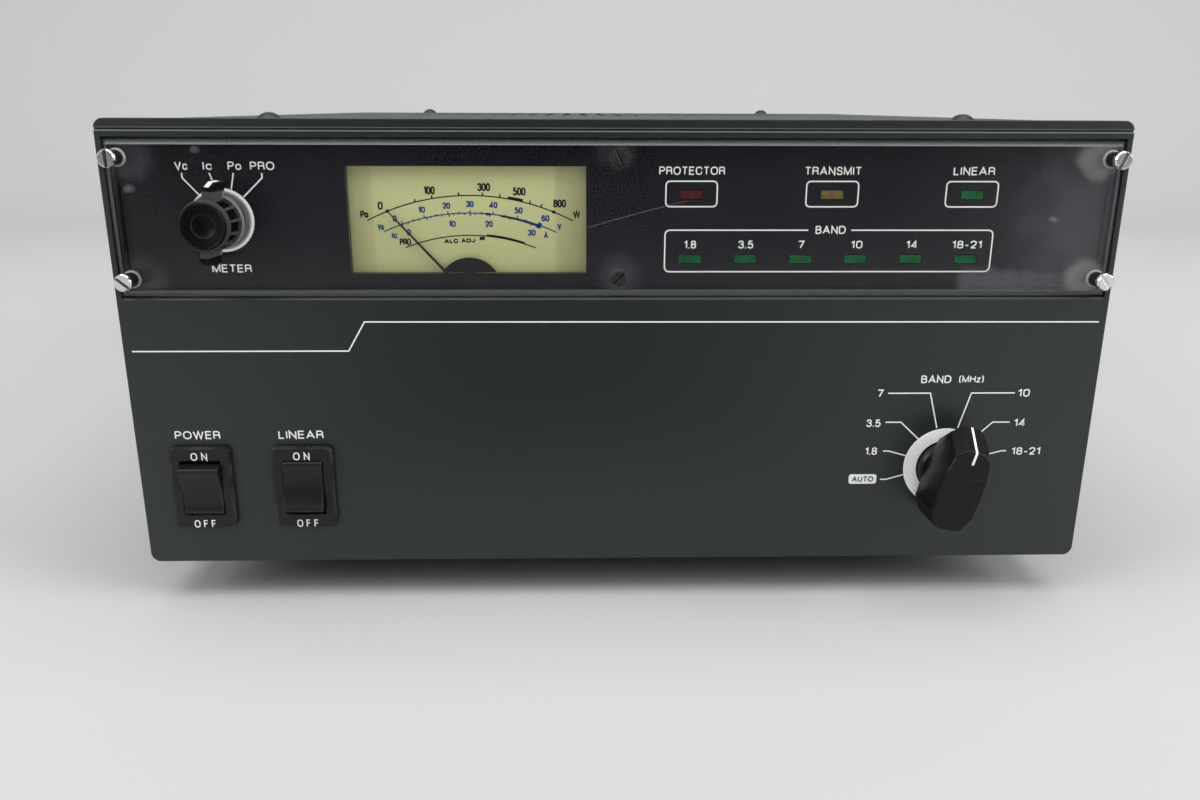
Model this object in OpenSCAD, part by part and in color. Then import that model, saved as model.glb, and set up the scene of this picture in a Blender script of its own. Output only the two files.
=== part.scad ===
// Desktop solid-state HF linear amplifier.
// X runs to the right, Y into the cabinet and Z up. The origin is the centre of
// the floor under the amplifier, so the feet stand on Z = 0.

/* [Cabinet] */
// Width of the front panel
panel_w = 306; // [298:1:320]
// Height of the front panel
panel_h = 140.5; // [138:0.5:150]
// Depth of the front panel's rim
panel_rim_d = 6; // [5:0.5:8]
// Wall of the front panel's rim
panel_rim_t = 3; // [2:0.5:4]
// Thickness of the lower face of the front panel
panel_t = 4; // [3:0.5:5]
// Corner radius of the front panel
panel_corner_r = 3; // [1:0.5:5]
// Depth from the front face to the back face of the rear panel
cabinet_d = 365; // [355:1:380]
// Step in from the front panel's outline to the covers
cover_step = 0.6; // [0.3:0.1:1.5]
// Sheet thickness of the covers
cover_t = 1.2; // [0.8:0.1:2]
// Outer bend radius of the covers
cover_bend_r = 2.4; // [2:0.2:4]
// Height of the seam between the covers
seam_up = 70; // [50:1:90]
// Sheet thickness of the chassis
chassis_t = 2; // [1.5:0.25:2.5]
// Width of the chassis flanges
flange_w = 8; // [7:0.5:8]
// Depth of the top rails
rail_d = 14; // [12:0.5:18]
// Thickness of the rear panel
rear_t = 2; // [1.5:0.25:3]
// Gap left where one sheet slides over another
slip = 0.2; // [0.1:0.05:0.3]

/* [Vents] */
// Width of a ventilation slot
vent_w = 4; // [2:0.5:5]
// Distance between ventilation slots
vent_pitch = 9; // [8:0.5:12]
// Length of a slot in the top and bottom covers
vent_l = 58; // [40:1:70]
// Height of a slot in the cabinet's sides
side_vent_l = 26; // [16:1:30]

/* [Feet and screws] */
// Height of the feet below the front panel
foot_h = 14; // [10:1:18]
// Radius of a foot at the cabinet
foot_r = 11; // [9:0.5:13]
// Radius of a foot at the floor
foot_tip_r = 9.5; // [8:0.5:11]
// Distance of the feet from the cabinet's side
foot_in = 34; // [25:1:50]
// Distance of the front feet behind the front face
foot_front = 44; // [40:1:60]
// Distance of the rear feet from the cabinet's back
foot_rear = 40; // [30:1:60]
// Radius of a cabinet screw's head
screw_head_r = 4; // [3:0.25:4.5]
// Height of a cabinet screw's head
screw_head_h = 2.3; // [1.5:0.1:3]
// Radius of a cabinet screw's shank
screw_r = 1.9; // [1.5:0.1:2.2]
// Distance of the top screws from the middle
top_screw_x = 105.7; // [80:0.5:125]
// Distance of the front top screws behind the front face
top_screw_front = 12.5; // [12:0.5:15]
// Distance of the rear top screws from the cabinet's back
top_screw_rear = 7.5; // [6:0.5:10]
// Radius of a small screw's shank
small_screw_r = 1.5; // [1:0.1:1.6]
// Radius of a small screw's head
small_head_r = 2.8; // [2:0.1:3]

/* [Display] */
// Height of the lip above the window
lip_h = 5.6; // [4:0.2:8]
// Width of the groove in the lip
lip_groove_w = 0.5; // [0.3:0.1:2]
// Width of the sloped edges on either side of the groove
lip_groove_edge = 0.3; // [0.1:0.1:0.6]
// Depth of the groove in the lip
lip_groove_d = 0.6; // [0.3:0.1:1]
// Distance of the groove below the top edge
lip_groove_down = 3; // [2:0.1:3.5]
// Height of the window
window_h = 46.9; // [46:0.1:50]
// Border left of and right of the window
window_side = 1.5; // [1:0.1:2.5]
// Thickness of the window
window_t = 2.6; // [2:0.1:3]
// Bevel of the window, across its face
window_bevel = 1.5; // [0.5:0.1:2]
// Bevel of the window, through its thickness
window_bevel_d = 1.1; // [0.5:0.1:1.5]
// Ledge that carries the window's edge
window_ledge = 1.5; // [1:0.1:2]
// Shadow gap under the window
window_gap = 0.4; // [0.3:0.1:0.8]
// Depth of the display panel's face
display_d = 4.2; // [4:0.1:6]
// Thickness of the display panel
display_t = 0.8; // [0.5:0.1:1]
// Wall behind the display panel
recess_t = 2; // [1.5:0.1:3]
// Distance of the window screws from the window's side
window_screw_in = 4.15; // [4:0.05:6]
// Distance of the window screws from its top and bottom
window_screw_up = 5.5; // [5:0.1:7]
// Radius of a chromed window screw's head
window_head_r = 2.65; // [2.5:0.05:3.2]
// Thickness of a chromed window screw's head
window_head_h = 1.7; // [1:0.1:2]
// Length of the black collar under a chromed head
collar_h = 5.6; // [3:0.1:7]
// Radius of the collar
collar_r = 2.2; // [1.9:0.05:2.6]
// Width of the collar's sloped rim at the window
collar_rim = 0.55; // [0.3:0.05:0.8]
// Radius of the black middle screws
mid_head_r = 2.35; // [2:0.05:2.6]

/* [Meter] */
// Distance of the meter opening's centre left of the middle
meter_x = 46.1; // [44:0.1:48]
// Height of the meter opening's centre above the window's bottom
meter_up = 22.65; // [22:0.1:24]
// Width of the meter opening
meter_w = 72.2; // [68:0.2:74]
// Height of the meter opening
meter_h = 32.3; // [30:0.1:33]
// Depth of the scale plate behind the display panel's face
scale_d = 3.4; // [3:0.1:4]
// Thickness of the scale plate
scale_t = 0.8; // [0.5:0.1:1]
// Thickness of the meter's clear front
meter_glass_t = 0.8; // [0.5:0.1:1]
// Depth of the meter case behind the front panel's recess
meter_case_d = 27; // [24:1:32]
// Wall of the meter case
meter_wall = 1.6; // [1:0.1:2]
// Drop of the needle's pivot below the meter opening
pivot_down = 8.1; // [7.5:0.1:8.5]
// Length of the needle from its pivot
needle_l = 36.7; // [30:0.1:37]
// Width of the needle
needle_w = 0.5; // [0.3:0.1:0.8]
// Sweep of the needle
needle_sweep = 85; // [70:1:90]
// Radius of the black disc over the movement
cover_disc_r = 10; // [9:0.1:10.5]

/* [Indicators] */
// Distance of the first indicator column right of the middle
led_x = 22; // [18:0.5:24]
// Distance between band indicators
led_pitch = 17.2; // [15:0.1:18]
// Height of the band indicators above the window's bottom
band_led_up = 10.9; // [9:0.1:13]
// Height of the status indicators above the window's bottom
status_led_up = 30.5; // [28:0.1:33]
// Width of an indicator
led_w = 6.7; // [5:0.1:8]
// Height of an indicator
led_h = 2.5; // [2:0.1:3]
// Length of an indicator's body
led_l = 6; // [5:0.5:8]
// Thickness of a circuit board
board_t = 1.6; // [1:0.1:2]

/* [Meter selector] */
// Distance of the meter selector from the panel's left edge
meter_sel_in = 33; // [31:0.5:36]
// Height of the meter selector above the window's bottom
meter_sel_up = 22.8; // [20:0.1:25]
// Reach of the meter knob in front of the front face
meter_knob_l = 13; // [12:0.5:16]
// Radius of the meter knob's base
meter_knob_r = 8.3; // [8:0.1:9]
// Radius of the meter knob's cap
meter_cap_r = 7.3; // [6.8:0.1:7.8]
// Reach of the pointer fin from the axis
meter_fin_r = 12.1; // [10:0.1:13]
// Number of flutes round the knob
meter_flutes = 12; // [8:1:14]
// Angle of the pointer fin at rest, from the right
meter_knob_angle = 82.5; // [60:0.5:120]
// Inner radius of the white ring
meter_ring_in = 8.2; // [8:0.1:8.8]
// Outer radius of the white ring
meter_ring_out = 9.6; // [9:0.1:11]

/* [Band selector] */
// Distance of the band selector from the panel's right edge
band_in = 46.7; // [40:0.5:55]
// Height of the band selector
band_up = 31.8; // [28:0.5:40]
// Reach of the band knob in front of the front face
band_knob_l = 18.4; // [15:0.2:22]
// Length of the band knob's pointer end
band_pointer_l = 16.8; // [15:0.2:18]
// Length of the band knob's tail
band_tail_l = 15.2; // [13:0.2:16]
// Half width of the band knob
band_half_w = 7; // [6:0.1:8]
// Radius of the round base under the bar
band_base_r = 8.6; // [8:0.1:8.9]
// Angle of the pointer at rest, from the right
band_knob_angle = 75; // [45:1:135]
// Inner radius of the white ring
band_ring_in = 9; // [9:0.1:10]
// Outer radius of the white ring
band_ring_out = 13; // [12:0.1:15]
// Thickness of the white rings
ring_t = 0.4; // [0.2:0.1:0.6]

/* [Rotary switches] */
// Radius of a switch shaft
shaft_r = 3; // [2.5:0.1:3.2]
// Running clearance round a shaft
shaft_play = 0.05; // [0.02:0.01:0.08]
// Radius of the threaded bushing
bushing_r = 4.5; // [4.2:0.1:4.8]
// Distance between flats of the bushing nut
nut_flats = 12; // [11:0.5:12.5]
// Thickness of the bushing nut
nut_t = 2; // [1.5:0.1:2]
// Radius of a switch wafer
wafer_r = 14; // [12:0.5:15]
// Thickness of a switch wafer
wafer_t = 1.6; // [1:0.1:2]
// Distance between wafers
wafer_pitch = 12; // [10:0.5:14]
// Number of positions round a switch
detents = 12; // [10:1:12]

/* [Rocker switches] */
// Distance of the POWER switch from the panel's left edge
switch_in = 20; // [19:0.1:24]
// Distance between the two switches
switch_pitch = 32.3; // [28:0.1:40]
// Height of the switches
switch_up = 26.4; // [22:0.1:40]
// Width of a switch bezel
bezel_w = 19.4; // [18:0.2:22]
// Height of a switch bezel
bezel_h = 27.6; // [26:0.2:32]
// Reach of a bezel in front of the panel
bezel_d = 2; // [1:0.1:3]
// Corner radius of a bezel
bezel_r = 2; // [1:0.1:3]
// Width of a rocker
rocker_w = 12.4; // [11:0.2:13]
// Height of a rocker
rocker_h = 16.6; // [15:0.2:18]
// Clearance round a rocker
rocker_gap = 0.3; // [0.2:0.05:0.5]
// Tilt of a rocker to either side of its middle
rocker_tilt = 10; // [6:0.5:11]
// Depth of a switch body behind the panel's face
switch_body_d = 26; // [22:1:32]
// Radius of a rocker's pivot pins
trunnion_r = 1.5; // [1:0.1:2]
// Length of a rocker's pivot pins
trunnion_l = 1.4; // [1:0.1:1.6]

/* [Inner plates and boards] */
// Depth of the shield plate
shield_y = 62; // [58:1:68]
// Thickness of the shield plate
shield_t = 1.2; // [0.8:0.1:2]
// Width of the control board
control_w = 150; // [120:1:160]
// Height of the control board
control_h = 62; // [50:1:68]
// Length of the control board's standoffs
control_off = 12; // [10:0.5:13]
// Width of the filter board
filter_w = 240; // [230:1:250]
// Length of the filter board
filter_l = 84; // [80:1:88]
// Height of the filter board above the chassis floor
filter_off = 10; // [8:0.5:14]
// Gap between the shield plate and the filter board
filter_gap = 10; // [8:0.5:14]
// Number of band filters
band_filters = 6; // [5:1:6]
// Radius of a filter coil's core
coil_r = 10; // [8:0.5:12]
// Height of a filter coil's core
coil_t = 8; // [6:0.5:9]
// Thickness of a filter coil's ring
coil_ring = 5; // [4:0.5:6]
// Width of a relay
relay_w = 12; // [10:0.5:14]
// Length of a relay
relay_l = 22; // [18:0.5:24]
// Height of a relay
relay_h = 16; // [12:0.5:20]

/* [Heat sink and amplifier] */
// Gap between the heat sink and the fans
sink_gap = 10; // [5:1:20]
// Length of the heat sink
sink_l = 150; // [140:1:156]
// Distance of the heat sink from the chassis' side
sink_side = 53; // [46:1:60]
// Height of the heat sink's underside above the chassis floor
sink_up = 54; // [50:1:60]
// Thickness of the heat sink's base
sink_base_t = 8; // [6:0.5:10]
// Height of the fins
fin_h = 56; // [40:1:60]
// Thickness of a fin at its root
fin_root_t = 2.6; // [2:0.1:3]
// Thickness of a fin at its tip
fin_tip_t = 1.6; // [1:0.1:2]
// Distance between fins
fin_pitch = 8; // [6:0.5:12]
// Gap between the heat sink and the amplifier boards
pa_gap = 4; // [3.5:0.1:5]
// Distance of an amplifier board from the heat sink's side
pa_side = 4; // [2:0.5:6]
// Distance of an amplifier board from the heat sink's middle
pa_mid = 6; // [2:0.5:10]
// Length of an amplifier board
pa_l = 140; // [130:1:140]
// Number of transistors on an amplifier board
pa_devices = 4; // [2:1:4]
// Width of a transistor's flange
flange_l = 24; // [20:0.5:25]
// Thickness of a bracket's sheet
bracket_t = 2; // [1.5:0.1:3]
// Radius of a reservoir capacitor
can_r = 12.5; // [10:0.5:14]
// Height of a reservoir capacitor
can_h = 45; // [35:1:60]

/* [Fans] */
// Width of a fan
fan_w = 80; // [70:1:84]
// Depth of a fan
fan_d = 25; // [20:1:28]
// Radius of a fan's air way
fan_bore_r = 38; // [34:0.5:38]
// Distance of the fans from the middle
fan_x = 43; // [42:1:50]
// Height of the fans above the chassis floor
fan_up = 78; // [70:1:85]
// Radius of a fan's hub
fan_hub_r = 15; // [12:0.5:17]
// Clearance at the blade tips
fan_tip_gap = 1.2; // [0.8:0.1:2]
// Number of blades
fan_blades = 7; // [5:1:9]
// Blade angle at the hub
blade_root_angle = 48; // [35:1:50]
// Blade angle at the tip
blade_tip_angle = 28; // [20:1:35]
// Sweep of a blade from hub to tip
blade_sweep = 22; // [0:1:30]
// Thickness of a blade
blade_t = 1.6; // [1.2:0.1:2]
// Radius of a fan's shaft
fan_shaft_r = 1.5; // [1:0.1:2]
// Wire radius of a finger guard
guard_wire_r = 0.9; // [0.7:0.1:1.2]
// Number of rings in a finger guard
guard_rings = 5; // [3:1:5]

/* [Rear sockets] */
// Distance of the coax sockets from the chassis' side
coax_in = 33; // [27:1:39]
// Height of the antenna socket above the chassis floor
antenna_up = 100; // [90:1:110]
// Height of the radio input socket above the chassis floor
input_up = 62; // [55:1:70]
// Distance of a coax socket's thread from the rear panel
coax_relief = 3.2; // [3:0.1:4]
// Radius of a coax socket's threaded shell
coax_r = 7.9; // [7.5:0.1:8]
// Reach of a coax socket behind the rear panel
coax_l = 17; // [15:0.5:18]
// Width of a coax socket's flange
coax_flange = 25.4; // [24:0.2:27]
// Radius of a coax socket's centre contact bore
contact_r = 2.05; // [1.9:0.05:2.2]
// Height of the small sockets above the chassis floor
jack_up = 20; // [18:1:24]
// Radius of a phono jack's shell
jack_r = 4.15; // [4:0.05:4.3]
// Reach of a phono jack behind the rear panel
jack_l = 9; // [8:0.5:10]
// Distance between phono jacks
jack_pitch = 16; // [14:0.5:20]
// Radius of the accessory socket
acc_r = 9; // [8:0.5:10]
// Depth of the accessory socket's well inside the rear face
acc_well = 2; // [1:0.5:4]
// Width of the power socket
power_w = 34; // [28:1:38]
// Height of the power socket
power_h = 24; // [20:1:28]
// Reach of the power socket's shroud behind the rear panel
power_l = 10; // [9:0.5:12]
// Length of the power socket's blades
blade_l = 6; // [4:0.5:7]
// Height of the power socket's centre above the chassis floor
power_up = 70; // [50:1:90]
// Radius of the ground terminal's stud
ground_r = 2.5; // [2:0.1:3]
// Radius of a power lead
lead_r = 2.4; // [1.8:0.1:3]
// Radius of an inner coax lead
jumper_r = 2.2; // [1.5:0.1:2.6]

/* [Hidden] */
$fn = 64;
fine = 96;

cabinet_green = [0.18, 0.215, 0.215];
near_black = [0.07, 0.07, 0.08];
silver = [0.78, 0.78, 0.8];
board_green = [0.12, 0.35, 0.2];

// Covers and chassis
cover_x = panel_w / 2 - cover_step;
cover_top = panel_h - cover_step;
chassis_x = cover_x - cover_t - slip;
chassis_bottom = cover_step + cover_t + slip;
chassis_top = cover_top - cover_t - slip;
floor_z = chassis_bottom + chassis_t;
edge_relief = 0.6 * (cover_bend_r - cover_t) + slip;
flange_screw_x = chassis_x - (flange_w + chassis_t) / 2;
rear_y = cabinet_d - rear_t;
cover_front = panel_rim_d;
fan_y = rear_y - fan_d;
sink_y = fan_y - sink_gap - sink_l;
vent_y = sink_y + sink_l / 2;
sink_w = 2 * (chassis_x - sink_side);

post_r = 3.6;
post_low = 10;

// Display
window_w = panel_w - 2 * window_side;
window_top = panel_h - lip_h;
window_bottom = window_top - window_h;
recess_x = window_w / 2 - window_ledge;
recess_floor = display_d + display_t;
recess_back = recess_floor + recess_t;
window_screw_x = window_w / 2 - window_screw_in;
window_screw_z = [window_bottom + window_screw_up, window_top - window_screw_up];
chassis_front = recess_back + slip;

// Meter
meter_z = window_bottom + meter_up;
pivot_z = meter_z - meter_h / 2 - pivot_down;
scale_y = display_d + scale_d;
glass_y = display_d + display_t;
needle_y = scale_y - 0.9;
meter_case_x = meter_w / 2 + 3;
bulb_x = meter_case_x * 0.6;
bulb_r = 2.4;
meter_case_top = meter_h / 2 + 3;
meter_case_bottom = meter_h / 2 + 17;
needle_t = 0.3;
coil_h = 8;
coil_room = 8.6;
case_back = recess_back + slip + meter_case_d - meter_wall;
core_y = scale_y + scale_t + slip;
core_l = 9;
coil_l = core_y - needle_y + core_l + 1.8;
yoke_y = needle_y + coil_l + 0.9;
cover_disc_up = 2.8;

// Indicators
status_columns = [0, 2.5, 5];
led_board_y = recess_back + led_l;

// Knobs, switches
knob_lift = 0.5;
meter_sel_x = -panel_w / 2 + meter_sel_in;
meter_sel_z = window_bottom + meter_sel_up;
band_x = panel_w / 2 - band_in;
switch_x = [-panel_w / 2 + switch_in, -panel_w / 2 + switch_in + switch_pitch];
pivot_y = 1;
well_w = rocker_w + 2 * rocker_gap;
well_h = rocker_h + 2 * rocker_gap + 1.2;
body_w = bezel_w - 2;
body_h = bezel_h - 3;

// Heat sink and fans
sink_z = floor_z + sink_up;
sink_top = sink_z + sink_base_t;
pa_top = sink_z - pa_gap;
pa_w = sink_w / 2 - pa_side - pa_mid;
pa_x = sink_w / 2 - pa_side - pa_w / 2;
fan_z = floor_z + fan_up;
fan_screw = fan_w / 2 - 4.3;
fan_blade_r = fan_bore_r - fan_tip_gap;

// Rear sockets
antenna_z = floor_z + antenna_up;
input_z = floor_z + input_up;
jack_z = floor_z + jack_up;
power_z = floor_z + power_up;
coax_x = chassis_x - coax_in;
ground_x = 58 - coax_x;

// Vents, capacitors and leads
vent_n = floor((sink_w / 2 - 18) / vent_pitch);
side_vent_n = floor((sink_l / 2 - 4) / vent_pitch);
can_front = sink_y + 30;
can_pitch = 2 * can_r + 4;
lead_gap = 5;

// Inner boards
control_y = shield_y - control_off;
control_z = window_bottom + 6;
filter_y = shield_y + shield_t + filter_gap;
filter_z = floor_z + filter_off;
filter_pitch = filter_w / band_filters;

// The front face lies this far in front of the cabinet's middle, so that the
// whole amplifier from knob to sockets is centred on the origin.
front_y = (band_knob_l - cabinet_d - coax_l) / 2;

// Puts the front face's frame into the amplifier's: X and Z are measured from
// the middle of the front panel's bottom edge and Y from the front face.
module in_cabinet() {
  translate([0, front_y, foot_h]) children();
}

// Plate between two depths, drawn in X and Z
module plate_y(y0, t) {
  translate([0, y0 + t, 0]) rotate([90, 0, 0]) linear_extrude(t) children();
}

module rod_y(r, y0, l) {
  translate([0, y0 + l, 0]) rotate([90, 0, 0]) cylinder(r = r, h = l);
}

// Turned shape on an axis that points to the front, drawn as [radius, reach]
module turned(points) {
  rotate([90, 0, 0]) rotate_extrude($fn = fine) polygon(points);
}

module round_rect(w, h, r) {
  union() {
    square([w - 2 * r, h], center = true);
    square([w, h - 2 * r], center = true);
    for (x = [-1, 1], y = [-1, 1])
      translate([x * (w / 2 - r), y * (h / 2 - r)]) circle(r = r);
  }
}

// Outline with rounded corners that stands on Z = 0
module standing_rect(w, h, r) {
  translate([0, h / 2]) round_rect(w, h, r);
}

module slot(l, w) {
  union() {
    square([l - w, w], center = true);
    for (x = [-1, 1]) translate([x * (l - w) / 2, 0]) circle(r = w / 2, $fn = 24);
  }
}

module at_corners(x, y) {
  for (sx = [-1, 1], sy = [-1, 1]) translate([sx * x, sy * y]) children();
}

// Straight round lead from one point to another along one axis
module lead(from, to, r) {
  run = to - from;
  l = norm(run);
  translate(from) rotate([0, acos(run[2] / l), atan2(run[1], run[0])]) cylinder(r = r, h = l, $fn = 24);
}

// Pan-head slotted screw; the head's top is at Z = 0 and the shank points down
module slotted_screw(head_r, head_h, shank_r, shank_l, slot_angle, slot_w = 0.7) {
  difference() {
    union() {
      translate([0, 0, -head_h]) cylinder(r = head_r, h = head_h * 0.7);
      translate([0, 0, -head_h * 0.3]) cylinder(r1 = head_r, r2 = head_r * 0.86, h = head_h * 0.3);
      translate([0, 0, -head_h - shank_l]) cylinder(r = shank_r, h = shank_l + 0.01);
    }
    rotate(slot_angle) translate([-head_r * 1.5, -slot_w / 2, -head_h * 0.6])
      cube([head_r * 3, slot_w, head_h]);
  }
}

// Truss-head screw with a cross recess, seated at Z = 0 and pointing down
module truss_screw(head_r, head_h, shank_r, shank_l) {
  dome_r = (head_r * head_r + head_h * head_h) / (2 * head_h);
  difference() {
    union() {
      intersection() {
        translate([0, 0, head_h - dome_r]) sphere(r = dome_r);
        cylinder(r = head_r, h = head_h);
      }
      translate([0, 0, -shank_l]) cylinder(r = shank_r, h = shank_l + 0.01);
    }
    for (a = [0, 90]) rotate(a) translate([-head_r * 0.45, -0.4, head_h * 0.45])
      cube([head_r * 0.9, 0.8, head_h]);
  }
}

// ---------- Front panel and display ----------

module front_panel() {
  boss_bottom = window_bottom - 2;
  in_cabinet() color(cabinet_green) difference() {
    union() {
      plate_y(0, panel_rim_d) standing_rect(panel_w, panel_h, panel_corner_r);
      plate_y(1, recess_back - 1) translate([-chassis_x, boss_bottom])
        square([2 * chassis_x, chassis_top - boss_bottom]);
      plate_y(1, recess_back - 1) at_posts() square(2 * post_r, center = true);
    }
    // hollow back below the display, with posts for the chassis screws
    plate_y(panel_t, recess_back) difference() {
      translate([0, panel_rim_t])
        standing_rect(panel_w - 2 * panel_rim_t, boss_bottom - panel_rim_t - 1, 1);
      at_posts() square(2 * post_r, center = true);
    }
    plate_y(panel_t - 1, recess_back) at_posts() circle(r = small_screw_r);
    window_rebate();
    plate_y(0, recess_floor) translate([-recess_x, window_bottom + window_ledge])
      square([2 * recess_x, window_h - 2 * window_ledge]);
    lip_groove();
    plate_y(recess_floor - 1, recess_t + 2) display_cutouts();
    // pocket behind the web for the meter's moving coil
    translate([-meter_x - coil_room, recess_floor + 0.6, pivot_z - coil_room])
      cube([2 * coil_room, recess_t + 2, pivot_down + coil_room + 1]);
    translate([band_x, 0, band_up]) rod_y(bushing_r + slip, -1, panel_t + 2);
    for (x = switch_x) plate_y(-1, panel_t + 2) translate([x, switch_up])
      square([body_w + 2 * slip, body_h + 2 * slip], center = true);
  }
}

// Groove along the lip, with sloped edges
module lip_groove() {
  half = lip_groove_w / 2;
  open = half + lip_groove_edge + 1;
  translate([-panel_w, 0, panel_h - lip_groove_down]) rotate([90, 0, 90]) linear_extrude(2 * panel_w) polygon([
    [-1, -open], [lip_groove_edge, -half], [lip_groove_d, -half],
    [lip_groove_d, half], [lip_groove_edge, half], [-1, open]
  ]);
}

// Places of the chassis screws' posts
module at_posts() {
  for (x = [0, 1], z = [post_low, seam_up]) mirror([x, 0, 0])
    translate([flange_screw_x, z]) children();
}

// Space of the window in the front panel, with a bevel along its lower edge
module window_rebate() {
  low = window_bottom - window_gap;
  high = window_top + window_gap;
  bevel = 0.6;
  translate([-window_w / 2, 0, 0]) rotate([90, 0, 90]) linear_extrude(window_w) polygon([
    [-1, low - bevel - 1], [bevel, low], [window_t, low], [window_t, high], [-1, high]
  ]);
}

module led_places(columns, up) {
  for (i = columns) translate([led_x + i * led_pitch, window_bottom + up]) children();
}

module display_cutouts() {
  translate([-meter_x, meter_z]) square([meter_w, meter_h], center = true);
  led_places(status_columns, status_led_up) square([led_w + 2 * slip, led_h + 2 * slip], center = true);
  led_places([0:5], band_led_up) square([led_w + 2 * slip, led_h + 2 * slip], center = true);
  translate([meter_sel_x, meter_sel_z]) circle(r = bushing_r + slip);
  for (x = [-1, 1], z = window_screw_z) translate([x * window_screw_x, z]) circle(r = small_screw_r + slip);
  for (z = window_screw_z) translate([0, z]) circle(r = small_screw_r + slip);
}

module display_panel() {
  in_cabinet() color(near_black) difference() {
    plate_y(display_d, display_t - 0.02) translate([-recess_x + slip, window_bottom + window_ledge + slip])
      square([2 * (recess_x - slip), window_h - 2 * (window_ledge + slip)]);
    plate_y(display_d - 1, display_t + 2) display_cutouts();
  }
}

module display_window() {
  half_h = window_h / 2 - slip;
  half_w = window_w / 2 - slip;
  in_cabinet() color([0.55, 0.55, 0.6, 0.35]) difference() {
    // two bevelled bars cross to give a bevel on all four edges
    intersection() {
      translate([-half_w, 0, window_bottom + window_h / 2]) rotate([90, 0, 90])
        linear_extrude(2 * half_w) bevelled_edge(half_h);
      translate([0, 0, window_bottom]) linear_extrude(window_h)
        rotate(90) bevelled_edge(half_w);
    }
    for (x = [-1, 0, 1], z = window_screw_z) translate([x * window_screw_x, 0, z])
      rod_y(small_screw_r + slip, -1, window_t + 2);
    for (z = window_screw_z) translate([0, 0, z]) rod_y(mid_head_r + slip, -1, 1 + window_t / 2);
    translate([meter_sel_x, 0, meter_sel_z]) rod_y(nut_flats / 2 + 1.2, -1, window_t + 2);
  }
}

// Cross-section of the window, depth along X and half the width along Y
module bevelled_edge(half) {
  polygon([
    [0, -half + window_bevel], [window_bevel_d, -half], [window_t, -half],
    [window_t, half], [window_bevel_d, half], [0, half - window_bevel]
  ]);
}

module window_collars() {
  in_cabinet() color(near_black) for (x = [-1, 1], z = window_screw_z)
    translate([x * window_screw_x, 0, z]) turned([
      [small_screw_r + slip, 0], [collar_r + collar_rim, 0], [collar_r + collar_rim, 0.15],
      [collar_r, collar_rim + 0.15], [collar_r, collar_h], [small_screw_r + slip, collar_h]
    ]);
}

module window_screws() {
  slot_angles = [[-88, -40], [67, 128]];
  in_cabinet() color(silver) for (i = [0, 1], j = [0, 1])
    translate([(2 * i - 1) * window_screw_x, -collar_h - window_head_h, window_screw_z[1 - j]])
      rotate([90, 0, 0])
        slotted_screw(window_head_r, window_head_h, small_screw_r, collar_h + recess_floor, slot_angles[i][j], 1);
}

module window_mid_screws() {
  slot_angles = [45, -65];
  in_cabinet() color(near_black) for (j = [0, 1])
    translate([0, 0.1, window_screw_z[j]]) rotate([90, 0, 0])
      slotted_screw(mid_head_r, window_t / 2 - 0.1, small_screw_r, recess_floor - window_t / 2, slot_angles[j]);
}

// ---------- Meter ----------

module at_meter() {
  translate([-meter_x, 0, meter_z]) children();
}

module meter_case() {
  in_cabinet() at_meter() color([0.85, 0.85, 0.82]) difference() {
    plate_y(recess_back + slip, meter_case_d) translate([-meter_case_x, -meter_case_bottom])
      square([2 * meter_case_x, meter_case_bottom + meter_case_top]);
    plate_y(recess_back + slip - 1, meter_case_d - meter_wall + 1)
      translate([-meter_case_x + meter_wall, -meter_case_bottom + meter_wall])
        square([2 * (meter_case_x - meter_wall), meter_case_bottom + meter_case_top - 2 * meter_wall]);
    // lamp openings and the terminals' holes in the back
    for (x = [-1, 1]) translate([x * bulb_x, 0, 6]) rod_y(bulb_r + 0.2, meter_case_d - 5, 20);
  }
}

module meter_scale_plate() {
  in_cabinet() at_meter() color([0.78, 0.79, 0.55]) difference() {
    plate_y(scale_y, scale_t)
      square([2 * (meter_case_x - meter_wall - slip), 2 * (meter_case_top - meter_wall - slip)], center = true);
    translate([0, 0, -meter_h / 2 - pivot_down]) rod_y(coil_h, scale_y - 1, scale_t + 2);
  }
}

module meter_cover_disc() {
  in_cabinet() translate([-meter_x, 0, pivot_z + cover_disc_up]) color(near_black) difference() {
    rod_y(cover_disc_r, glass_y + 0.4, 0.6);
    translate([-20, glass_y, -40 + pivot_down - cover_disc_up + slip]) cube([40, 2, 40]);
  }
}

module meter_glass() {
  in_cabinet() at_meter() color([0.9, 0.95, 0.95, 0.3])
    plate_y(display_d + 0.1, meter_glass_t) square([meter_w - 2 * slip, meter_h - 2 * slip], center = true);
}

// Ring magnet open at the bottom, its yoke, and the core inside the coil
module meter_magnet() {
  in_cabinet() translate([-meter_x, 0, pivot_z]) color([0.5, 0.5, 0.52]) {
    rod_y(4.6, core_y, core_l);
    rod_y(1.2, core_y, yoke_y - core_y + 1);
    difference() {
      rod_y(13, core_y, yoke_y - core_y + 1);
      rod_y(7.6, core_y - 1, yoke_y - core_y + 1);
      translate([-20, core_y - 1, -40]) cube([40, 20, 34]);
    }
    translate([-13, yoke_y, -6]) cube([26, case_back - yoke_y - 0.3, 12]);
  }
}

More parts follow.
